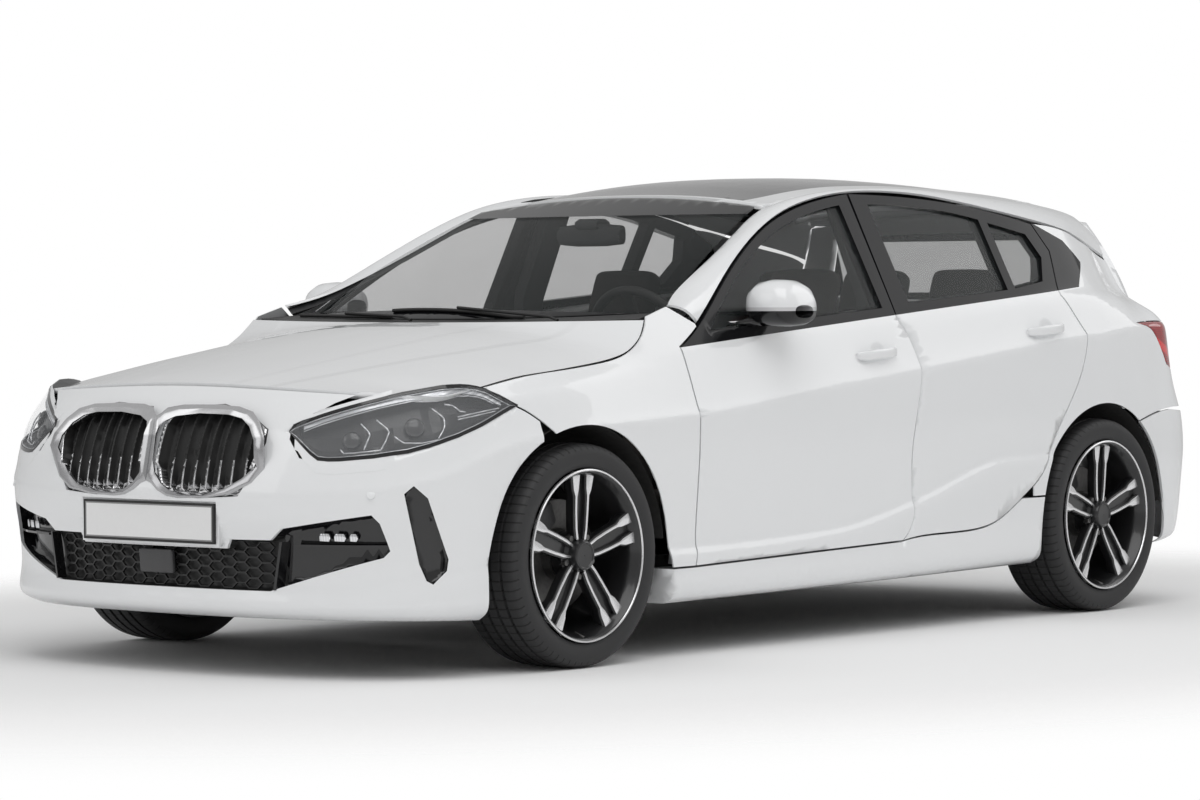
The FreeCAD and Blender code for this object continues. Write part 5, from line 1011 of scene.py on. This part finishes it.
def facing_out(point, lift):
    """Carries a piece from the origin to the corner's skin, with its Z axis facing out."""
    turn = corner_normal(point).to_track_quat("Z", "Y").to_matrix().to_4x4()
    return Matrix.Translation(on_corner(point, lift)) @ turn


def inset_chain(chain, other, step):
    """The chain moved towards the other one by a distance, and never past the middle between them."""
    return [a.lerp(b, min(0.48, step / max((b - a).length, 1e-6))) for a, b in zip(chain, other)]


def bowl_section(top, foot, wall):
    """The open section of the lamp's bowl at one place along it."""
    def walls(first, last, rise):
        """Points down one wall, over the ground and up the other, the ground raised by rise."""
        middle = [on_corner(p, BOWL_DEPTHS[-1] + rise) for p in across[1:-1]]
        down = [on_corner(first, d + rise * (d < -0.01)) for d in BOWL_DEPTHS]
        return down + middle + [on_corner(last, d + rise * (d < -0.01)) for d in BOWL_DEPTHS[::-1]]

    across = [top.lerp(foot, k / 4) for k in range(5)]
    inner = walls(top.lerp(foot, wall), foot.lerp(top, wall), 0.002)
    return walls(top, foot, 0) + inner[::-1]


lamp_cover, shader, place, axes = finish("lamp_cover", Roughness=0.02)
shade = place.node("ShaderNodeTexNoise", {"Vector": place, "Scale": 2.0})
(shade * 0.03 + 0.05).put(shader.inputs["Alpha"])
shader.inputs["Base Color"].default_value = (0.9, 0.92, 0.95, 1)
lamp_dark, shader, place, axes = finish("lamp_bowl", Roughness=0.28)
ribs = (axes[2] * 700.0).math("SINE")
ribs.mix((0.010, 0.010, 0.011, 1), (0.022, 0.022, 0.024, 1)).put(shader.inputs["Base Color"])
running_light, shader, place, axes = finish("running_light", Metallic=0.6, Roughness=0.2)
lengthways = (axes[2] * 420.0 + axes[0] * 160.0).math("SINE")
lengthways.mix((0.55, 0.56, 0.58, 1), (0.86, 0.87, 0.89, 1)).put(shader.inputs["Base Color"])

tops, feet = resampled(LAMP_TOP, LAMP_STATIONS), resampled(LAMP_FOOT, LAMP_STATIONS)
cutter = strip("lamp_opening", inset_chain(tops, feet, LAMP_PLAY), inset_chain(feet, tops, LAMP_PLAY),
               *OPENING_LAYER)
for name in ("front_bumper_painted", "fenders_painted"):
    for side, sign in SIDES:
        side_cutter = mirrored(cutter, sign, "lamp_opening_side")
        applied(bpy.data.objects[name], "BOOLEAN", operation="DIFFERENCE", object=side_cutter, solver="EXACT")
        bpy.data.objects.remove(side_cutter)
bpy.data.objects.remove(cutter)

clear_part = strip("clear_part", tops, feet, *CLEAR_LAYER)
clear_part.data.materials.append(lamp_cover)
printed = [strip("printed_edge", tops, inset_chain(tops, feet, PRINT_WIDTH), *PRINT_LAYER, 2),
           strip("printed_edge", inset_chain(feet, tops, PRINT_WIDTH), feet, *PRINT_LAYER, 2)]
for piece in printed:
    piece.data.materials.append(gloss_black)
bowl = lofted("bowl", [bowl_section(a, b, 0.03) for a, b in zip(tops[1:-1], feet[1:-1])])
bowl.data.materials.append(lamp_dark)
high_edge, low_edge = [inset_chain(tops, feet, step)[2:-2] for step in BLADE_EDGES]
blade = strip("running_blade", high_edge, low_edge, *BLADE_LAYER, 2)
blade.data.materials.append(running_light)
wires = []
for name, here, other, (step, height, radius), part in (
    ("edge_line", tops, feet, EDGE_LINE, slice(None)), ("edge_line", feet, tops, EDGE_LINE, slice(None)),
    ("blade_line", tops, feet, BLADE_LINE, slice(2, -3)),
):
    wires.append(rod(name, [on_corner(p, height) for p in inset_chain(here, other, step)[part]], radius))
for line in BRACKETS:
    wires.append(rod("bracket", [on_corner(p, BRACKET_HEIGHT) for p in resampled(line, 9)], BRACKET_RADIUS))
for piece in wires:
    piece.data.materials.append(running_light)
projectors = []
for spot, radius in PROJECTORS:
    bpy.ops.object.select_all(action="DESELECT")
    bpy.ops.mesh.primitive_uv_sphere_add(segments=32, ring_count=16, radius=radius)
    eye = bpy.context.object
    eye.data.transform(facing_out(spot, EYE_HEIGHT) @ Matrix.Diagonal((1, 1, 0.45, 1)))
    bpy.ops.object.shade_smooth()
    eye.data.materials.append(gloss_black)
    projectors.append(eye)
surrounds = []
for here, other, reach, span in ((feet, tops, 0.036, 11), (tops, feet, 0.013, 12)):
    edge = [p + (p - q).normalized() * 0.0004 for p, q in zip(here, other)]
    outer = [p + (p - q).normalized() * reach for p, q in zip(here, other)]
    outer[0] = outer[1] + Vector((0, -0.012, 0.004))
    edge[0] = edge[1] + Vector((0, -0.004, 0.002))
    surrounds.append(strip("lamp_surround", outer[:span], edge[:span], *SURROUND_LAYER, 3))
    surrounds[-1].data.materials.append(paint)
whole_lamp = joined([clear_part, bowl, blade] + printed + wires + projectors, "headlamp_left")
right_lamp = mirrored(whole_lamp, -1, "headlamp_right")
for piece in (whole_lamp, right_lamp):
    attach(piece, "body")
left_surround = joined(surrounds, "lamp_surround_left")
right_surround = mirrored(left_surround, -1, "lamp_surround_right")
for piece in (left_surround, right_surround):
    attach(piece, "body")
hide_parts("headlamp_lenses")
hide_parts("headlamp_housings")

# Parking sensors: small painted discs in the bumper, each in a fine ring.
SENSOR_PLACE = Vector((2.000, 0.713, 0.513))
SENSOR_RADIUS, SENSOR_THICK, SENSOR_EDGE = 0.0115, 0.004, 0.0008
for side, sign in SIDES:
    bpy.ops.object.select_all(action="DESELECT")
    bpy.ops.mesh.primitive_cylinder_add(vertices=32, radius=SENSOR_RADIUS, depth=SENSOR_THICK)
    disc = bpy.context.object
    bevelled(disc, SENSOR_EDGE)
    disc.data.transform(facing_out(SENSOR_PLACE, 0.0))
    disc = mirrored(disc, sign, "parking_sensor_" + side)
    bpy.data.objects.remove(bpy.data.objects["Cylinder"])
    disc.data.materials.append(paint)
    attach(disc, "body")

# The door mirrors: white cap above, a satin strip round its foot, black below, and the glass facing back.
# A section holds its breadth, the places of its back and front, and its lowest and highest height.
mirror_glass = mottled("mirror_glass", (0.70, 0.72, 0.74), (0.74, 0.76, 0.78), 5.0,
                       Metallic=1.0, Roughness=0.03)
MIRROR_SECTIONS = (
    (0.8150, 0.370, 0.462, 0.988, 1.040), (0.8320, 0.345, 0.488, 0.968, 1.074),
    (0.8600, 0.332, 0.502, 0.960, 1.091), (0.9000, 0.326, 0.508, 0.957, 1.0975),
    (0.9400, 0.326, 0.506, 0.957, 1.094), (0.9700, 0.332, 0.497, 0.960, 1.079),
    (0.9860, 0.344, 0.480, 0.968, 1.052), (0.9915, 0.368, 0.455, 0.982, 1.020),
)
ARM_SECTIONS = (
    (0.800, 0.370, 0.500, 0.956, 0.974), (0.830, 0.385, 0.480, 0.958, 0.985),
    (0.870, 0.390, 0.470, 0.958, 0.990),
)
PANE_OUTLINE = (
    (0.862, 0.990), (0.938, 0.984), (0.950, 0.996), (0.948, 1.048), (0.932, 1.066), (0.876, 1.068),
    (0.864, 1.056),
)
PANE_PLACE, PANE_THICK = 0.3275, 0.003
CAP_FOOT = 1.014
CAP_BLACK = 1.003


def rounded_loop(y, back, front, low, high, count=28, power=2.6):
    """A rounded outline between two places along the car and two heights."""
    loop = []
    for i in range(count):
        turn = 2 * math.pi * i / count
        c, d = math.cos(turn), math.sin(turn)
        share_x = 0.5 + 0.5 * math.copysign(abs(c) ** (2 / power), c)
        share_z = 0.5 + 0.5 * math.copysign(abs(d) ** (2 / power), d)
        loop.append((back + (front - back) * share_x, y, low + (high - low) * share_z))
    return loop


cap_white, shader, place, axes = finish("mirror_cap", Coat_Roughness=0.03)
strip_mask = (CAP_FOOT - axes[2]).over(0.0)
black_mask = (CAP_BLACK - axes[2]).over(0.0)
lower_part = black_mask.mix((0.60, 0.60, 0.61, 1), BLACK_GLOSS)
strip_mask.mix(PAINT_WHITE, lower_part).put(shader.inputs["Base Color"])
(1 - black_mask).put(shader.inputs["Coat Weight"])
(black_mask * -0.14 + 0.32).put(shader.inputs["Roughness"])
housing = capped(lofted("mirror_housing", [rounded_loop(*section) for section in MIRROR_SECTIONS]))
smoothed(housing, 50)
housing.data.materials.append(cap_white)
arm = capped(lofted("mirror_arm", [rounded_loop(*section, 20, 4) for section in ARM_SECTIONS]))
smoothed(arm, 50)
arm.data.materials.append(gloss_black)
pane = drawn("mirror_pane", [(PANE_PLACE, y, z) for y, z in PANE_OUTLINE], face=True)
bevelled(thicken(pane, (-PANE_THICK, 0, 0)), 0.001)
pane.data.materials.append(mirror_glass)
left_mirror = joined([housing, arm, pane], "mirror_left")
right_mirror = mirrored(left_mirror, -1, "mirror_right")
for side, piece in (("left", left_mirror), ("right", right_mirror)):
    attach(piece, "door_front_" + side)
    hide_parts("door_mirror_" + side)

# Door handles: a painted pull bar over a round dish pressed in the door skin. A section of the bar holds its
# place along it, its height over the skin, half its breadth and its thickness.
HANDLE_SECTIONS = (
    (-0.100, 0.001, 0.0085, 0.004), (-0.094, 0.006, 0.0120, 0.012), (-0.078, 0.016, 0.0145, 0.014),
    (-0.045, 0.024, 0.0150, 0.013), (0.0, 0.027, 0.0150, 0.012), (0.045, 0.024, 0.0150, 0.013),
    (0.078, 0.016, 0.0145, 0.014), (0.094, 0.006, 0.0120, 0.012), (0.100, 0.001, 0.0085, 0.004),
)
door_tree = surface_tree(("door_front_left", "door_rear_left"))


def on_side(x, z, lift):
    """A point on the left doors' skin, raised by lift."""
    hit = door_tree.ray_cast(Vector((x, 1.2, z)), Vector((0, -1, 0)))[0]
    return Vector((x, (hit.y if hit else 0.87) + lift, z))


for door, (x, z) in HANDLES.items():
    sections = []
    for along, lift, half_high, thick in HANDLE_SECTIONS:
        base = on_side(x + along, z - along * 0.07, lift)
        loop = []
        for i in range(16):
            turn = 2 * math.pi * i / 16
            c, d = math.cos(turn), math.sin(turn)
            out, rise = (math.copysign(abs(value) ** 0.7, value) for value in (c, d))
            loop.append((base.x, base.y + thick * 0.5 * out, base.z + half_high * rise))
        sections.append(loop)
    bar = smoothed(capped(lofted("handle_bar", sections)), 50)
    bar.data.materials.append(paint)
    for side, sign in SIDES:
        own = mirrored(bar, sign, "door_handle_" + door + "_" + side)
        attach(own, "door_" + door + "_" + side)
    bpy.data.objects.remove(bar)

# The tail lamps: red covers with a darker field below and a bright swoosh through them.
SWOOSH_PLACE, SWOOSH_HEIGHT, SWOOSH_SLOPE = -1.80, 0.855, 0.45
red_lamp, shader, place, axes = finish("red_lamp_cover", Roughness=0.08, Coat_Weight=1.0, Coat_Roughness=0.02)
sweep = axes[2] - SWOOSH_HEIGHT - (axes[0] - SWOOSH_PLACE) * SWOOSH_SLOPE
band = 1 - sweep.math("ABSOLUTE").ramp(0.010, 0.018)
fluting = (axes[2] * 900.0).math("SINE") * 0.5 + 0.5
deep = fluting.mix((0.26, 0.004, 0.006, 1), (0.36, 0.007, 0.010, 1))
band.mix(deep, (0.75, 0.03, 0.03, 1)).put(shader.inputs["Base Color"])
bump(place, fluting, 0.15, 0.0005).put(shader.inputs["Normal"])
dress("tail_lamps", "tail_lamps_dressed", red_lamp, 40)
dress("tailgate_lamps", "tailgate_lamps_dressed", red_lamp, 40)

# The cabin's trim: grained dark dashboard and covers, carpet, felt in the load space and cloth-lined pillars.
# Each CAD shape is right as it is and takes a smooth copy with the finish of its real material.


def grained(name, first, second, scale, height, roughness, **constants):
    """A mottled finish with a finer grain."""
    return mottled(name, first, second, scale, (0.3, height), 4.0, Roughness=roughness, **constants)


soft_trim = grained("soft_trim", (0.016, 0.017, 0.018), (0.030, 0.031, 0.033), 420.0, 0.0006, 0.62)
carpet = grained("carpet", (0.012, 0.012, 0.013), (0.040, 0.040, 0.042), 700.0, 0.0020, 0.95)
felt = grained("felt", (0.020, 0.020, 0.021), (0.055, 0.055, 0.056), 500.0, 0.0012, 0.95)
underseal = grained("underseal", (0.018, 0.018, 0.018), (0.045, 0.044, 0.042), 60.0, 0.0020, 0.8)
black_steel = grained("black_steel", (0.012, 0.012, 0.013), (0.028, 0.028, 0.030), 90.0, 0.0004, 0.45)
cast_metal = grained("cast_metal", (0.20, 0.20, 0.20), (0.34, 0.34, 0.33), 130.0, 0.0010, 0.55,
                     Metallic=0.8)
leather = grained("leather", (0.014, 0.013, 0.013), (0.026, 0.025, 0.024), 300.0, 0.0010, 0.5)

for node, material, slot in (
    ("dashboard", soft_trim, "dark_plastic"), ("cowl", black_plastic, "dark_plastic"),
    ("bulkhead", underseal, "dark_plastic"), ("body_frames", soft_trim, "dark_plastic"),
    ("load_walls", felt, "seat_cloth"), ("load_floor", carpet, "seat_cloth"),
    ("engine_block", cast_metal, "painted_steel"), ("front_rails", black_steel, "painted_steel"),
    ("front_subframe", black_steel, "painted_steel"), ("rear_axle", black_steel, "painted_steel"),
    ("knuckle_left", cast_metal, "painted_steel"), ("knuckle_right", cast_metal, "painted_steel"),
    ("front_arch_liners", underseal, "dark_plastic"), ("rear_arch_liners", underseal, "dark_plastic"),
):
    dress(node, node + "_dressed", material)


def carpet_or_seal(centre, normal):
    """Carpet on the floor's upper faces, underseal on the rest."""
    return 0 if normal.z > 0.2 and centre.z > 0.15 else 1


dress_by_face("floor_pan", "floor_pan_dressed", (carpet, underseal), carpet_or_seal)
dress("steering_wheel", "steering_wheel_dressed", leather, 60)

# The seats: foam cushions, backs and headrests under a tight brown-grey cloth with sewn side bolsters.
# One front seat is rounded, crowned and grooved and then mirrored, and the rear bench is treated whole.
SEAT_PLACE = 0.370
BENCH_PLACES = (-SEAT_PLACE, 0.0, SEAT_PLACE)
SEAT_VOXEL = 0.011
SEAT_CROWN = 0.008
SEAM_HALF = 0.155
SEAM_WIDTH = 0.010
SEAM_DEPTH = 0.007


def seat_cloth(name, centres):
    """Woven cloth with a seam either side of each sitting place."""
    material, shader, place, axes = finish(name, Roughness=0.88)
    weave = (axes[1] * 2600.0).math("SINE") * ((axes[0] + axes[2]) * 2600.0).math("SINE")
    seam = axes[0] * 0.0
    for centre in centres:
        gap = ((axes[1] - centre).math("ABSOLUTE") - SEAM_HALF).math("ABSOLUTE")
        seam = seam.math("MAXIMUM", 1 - gap.ramp(0.002, 0.007))
    cloud = place.node("ShaderNodeTexNoise", {"Vector": place, "Scale": 14.0, "Detail": 3.0})
    cloth = (weave * 0.25 + cloud * 0.6 + 0.1).mix((0.040, 0.034, 0.032, 1), (0.078, 0.066, 0.062, 1))
    seam.mix(cloth, (0.012, 0.010, 0.010, 1)).put(shader.inputs["Base Color"])
    bump(place, weave * 0.12 - seam, 0.6, 0.0040).put(shader.inputs["Normal"])
    return material


def stuffed(piece, centres):
    """Remeshes a cushion evenly, rounds it, crowns each sitting place and sinks the seams beside it."""
    applied(piece, "REMESH", mode="VOXEL", voxel_size=SEAT_VOXEL)
    applied(piece, "SMOOTH", factor=0.6, iterations=10)
    for vertex, normal in [(v, v.normal.copy()) for v in piece.data.vertices]:
        nearest = min(abs(vertex.co.y - centre) for centre in centres)
        crown = max(0.0, math.cos(min(nearest / SEAM_HALF, 1) * math.pi / 2)) * SEAT_CROWN
        groove = math.exp(-((nearest - SEAM_HALF) / SEAM_WIDTH) ** 2) * SEAM_DEPTH
        facing = max(0.0, normal.x * 0.8 + normal.z * 0.6)
        vertex.co += normal * (crown - groove) * facing
    applied(piece, "SUBSURF", levels=1)
    bpy.ops.object.shade_smooth()
    return piece


def one_side(piece):
    """Keeps the left half of a piece of two mirrored parts."""
    solid = bmesh.new()
    solid.from_mesh(piece.data)
    bmesh.ops.delete(solid, geom=[v for v in solid.verts if v.co.y < 0], context="VERTS")
    solid.to_mesh(piece.data)
    solid.free()
    return piece


seat_left = stuffed(one_side(smooth_copy("front_seats", "front_seat_left")), (SEAT_PLACE,))
bench = stuffed(smooth_copy("rear_bench", "rear_bench_padded"), BENCH_PLACES)
seat_right = mirrored(seat_left, -1, "front_seat_right")
for piece, centres in ((seat_left, (SEAT_PLACE,)), (seat_right, (-SEAT_PLACE,)), (bench, BENCH_PLACES)):
    piece.data.materials.append(seat_cloth("cloth_of_" + piece.name, centres))
    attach(piece, "body")
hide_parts("front_seats")
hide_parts("rear_bench")

# The interior mirror hangs from a dark sensor housing at the top of the windscreen.
INNER_MIRROR_SECTIONS = (
    (-0.128, 0.195, 0.225, 1.222, 1.258), (-0.120, 0.183, 0.225, 1.210, 1.270),
    (-0.060, 0.183, 0.225, 1.205, 1.275), (0.060, 0.183, 0.225, 1.205, 1.275),
    (0.120, 0.183, 0.225, 1.210, 1.270), (0.128, 0.195, 0.225, 1.222, 1.258),
)
SENSOR_BOX_SECTIONS = (
    (-0.045, 0.170, 0.235, 1.262, 1.285), (-0.035, 0.170, 0.235, 1.255, 1.292),
    (0.035, 0.170, 0.235, 1.255, 1.292), (0.045, 0.170, 0.235, 1.262, 1.285),
)
mirror_shell = capped(lofted("inner_mirror", [rounded_loop(*s, 20, 3) for s in INNER_MIRROR_SECTIONS]))
sensor_box = capped(lofted("sensor_box", [rounded_loop(*s, 20, 4) for s in SENSOR_BOX_SECTIONS]))
inner_mirror = smoothed(joined([mirror_shell, sensor_box], "inner_mirror"), 45)
inner_mirror.data.materials.append(soft_trim)
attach(inner_mirror, "body")

# The roof lining: a thin felt-covered shell under the roof, from the windscreen to the tailgate.
LINING_FRONT, LINING_LENGTH, LINING_HALF = 0.020, 1.500, 0.560
LINING_GAP, LINING_THICK = 0.006, 0.008
LINING_STEPS = 16
roof_tree = surface_tree(("roof_panel", "cantrails"))
loops = []
for k in range(LINING_STEPS + 1):
    x = LINING_FRONT - LINING_LENGTH * k / LINING_STEPS
    across = []
    for i in range(LINING_STEPS + 1):
        y = -LINING_HALF + 2 * LINING_HALF * i / LINING_STEPS
        hit = roof_tree.ray_cast(Vector((x, y, 1.0)), Vector((0, 0, 1)))[0]
        height = hit.z if hit else (across[-1].z + LINING_GAP if across else 1.330)
        across.append(Vector((x, y, height - LINING_GAP)))
    loops.append(across + [point - Vector((0, 0, LINING_THICK)) for point in across[::-1]])
lining = smoothed(capped(lofted("roof_lining", loops)), 40)
lining.data.materials.append(felt)
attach(lining, "body")

# Rubber seals close the gap between the doors' frames and the roof's side covers. They follow the doors'
# upper edge, a little inside it and above it.
DOOR_TOP = (
    (0.700, 0.760, 0.950), (0.600, 0.745, 1.0207), (0.500, 0.7144, 1.0884), (0.400, 0.6856, 1.1513),
    (0.300, 0.6602, 1.2073), (0.200, 0.6394, 1.2547), (0.100, 0.6240, 1.2919), (0.000, 0.6135, 1.3197),
    (-0.100, 0.6066, 1.3409), (-0.200, 0.6025, 1.3571), (-0.300, 0.6031, 1.3647), (-0.400, 0.6085, 1.3633),
    (-0.500, 0.6146, 1.3606), (-0.600, 0.6216, 1.3560), (-0.700, 0.6292, 1.3491), (-0.800, 0.6376, 1.3396),
    (-0.900, 0.6471, 1.3273), (-1.000, 0.6579, 1.3119), (-1.100, 0.6693, 1.2931),
)
SEAL_INSIDE, SEAL_ABOVE, SEAL_RADIUS = 0.016, 0.006, 0.0055
rubber_seal = grained("rubber_seal", (0.008, 0.008, 0.008), (0.016, 0.016, 0.016), 200.0, 0.0004, 0.7)
for side, sign in SIDES:
    line = [(x, sign * (y - SEAL_INSIDE), z + SEAL_ABOVE) for x, y, z in DOOR_TOP]
    seal = rod("door_seal_" + side, line, SEAL_RADIUS)
    seal.data.materials.append(rubber_seal)
    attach(seal, "body")

# Brake calipers: cast housings that straddle each disc at its upper front, held by the knuckle or the rear
# axle. One is lofted round part of the disc and copied to each wheel.
CALIPER_ARC = (68, 22)
CALIPER_MIDDLE = 0.138
CALIPER_SECTION = (
    (-0.046, 0.100), (-0.046, 0.158), (-0.034, 0.176), (0.020, 0.176), (0.032, 0.160), (0.032, 0.104),
    (0.024, 0.100), (0.010, 0.100), (0.008, 0.163), (-0.034, 0.163), (-0.034, 0.100),
)
caliper_grey = grained("caliper_grey", (0.060, 0.060, 0.062), (0.100, 0.100, 0.102), 150.0, 0.0006, 0.45,
                       Metallic=0.4)
loops = []
for k in range(9):
    angle = math.radians(CALIPER_ARC[0] + (CALIPER_ARC[1] - CALIPER_ARC[0]) * k / 8)
    shrink = 0.90 if k in (0, 8) else 1.0
    loop = []
    for y, radius in CALIPER_SECTION:
        reach = CALIPER_MIDDLE + (radius - CALIPER_MIDDLE) * shrink
        loop.append((math.cos(angle) * reach, y * shrink - 0.002, math.sin(angle) * reach))
    loops.append(loop)
caliper = smoothed(capped(lofted("brake_caliper", loops)), 30)
caliper.data.materials.append(caliper_grey)
for axle, axle_x in AXLES.items():
    for side, sign in SIDES:
        own = moved(caliper, at_corner(axle_x, sign), "brake_caliper_" + axle + "_" + side)
        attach(own, "knuckle_" + side if axle == "front" else "body")
bpy.data.objects.remove(caliper)

# The wipers: two black arms with long blades, parked along the foot of the windscreen.
# Each is given by its pivot and the two ends of its blade, as places along and across the car. The arm rises
# from its pivot over an elbow to the middle of the blade.
WIPERS = {"driver": ((0.985, 0.520), (0.915, 0.330), (0.880, -0.230)),
          "passenger": ((0.985, -0.060), (0.920, -0.200), (0.860, -0.640))}
ARM_LIFTS, ARM_RADIUS = (0.006, 0.014, 0.016), 0.0045
WIPER_BLADE_LIFT, WIPER_BLADE_RADIUS = 0.0065, 0.0055
screen_tree = surface_tree(("windscreen", "cowl"))


def on_screen(x, y, lift):
    """A point over the windscreen or its cowl, raised by lift."""
    hit = screen_tree.ray_cast(Vector((x, y, 2.0)), Vector((0, 0, -1)))[0]
    return Vector((x, y, hit.z + lift))


for name, (pivot, near, far) in WIPERS.items():
    elbow = (pivot[0] - 0.02, pivot[1] - 0.05)
    middle = ((near[0] + far[0]) / 2, (near[1] + far[1]) / 2)
    bends = [on_screen(*place, lift) for place, lift in zip((pivot, elbow, middle), ARM_LIFTS)]
    arm = rod("wiper_arm", bends, ARM_RADIUS)
    line = [(near[0] + (far[0] - near[0]) * k / 12, near[1] + (far[1] - near[1]) * k / 12) for k in range(13)]
    blade = rod("wiper_blade", [on_screen(x, y, WIPER_BLADE_LIFT) for x, y in line], WIPER_BLADE_RADIUS)
    wiper = joined([arm, blade], "wiper_" + name)
    wiper.data.materials.append(black_plastic)
    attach(wiper, "body")

# Beside the rear window, upright gloss black blades guide the air past the spoiler.
# They taper from their top to their foot, both given as places across the car and heights.
BLADE_TOP, BLADE_FALL = (0.560, 1.265), (0.110, -0.215)
BLADE_WIDTH = 0.034
gate_tree = surface_tree(("tailgate", "rear_window"))


def on_gate(y, z, lift):
    """A point on the tailgate's outside, raised by lift."""
    hit = gate_tree.ray_cast(Vector((-2.6, y, z)), Vector((1, 0, 0)))[0]
    return Vector((hit.x - lift, y, z))


loops = []
for k in range(9):
    y, z = BLADE_TOP[0] + BLADE_FALL[0] * k / 8, BLADE_TOP[1] + BLADE_FALL[1] * k / 8
    width = BLADE_WIDTH * (1 - 0.5 * k / 8)
    across = [y - width * i / 4 for i in range(5)]
    loops.append([on_gate(at, z, 0.006) for at in across] + [on_gate(at, z, 0.001) for at in across[::-1]])
blade = smoothed(capped(lofted("window_blade", loops)), 35)
blade.data.materials.append(gloss_black)
for side, sign in SIDES:
    own = mirrored(blade, sign, "window_blade_" + side)
    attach(own, "tailgate")
bpy.data.objects.remove(blade)
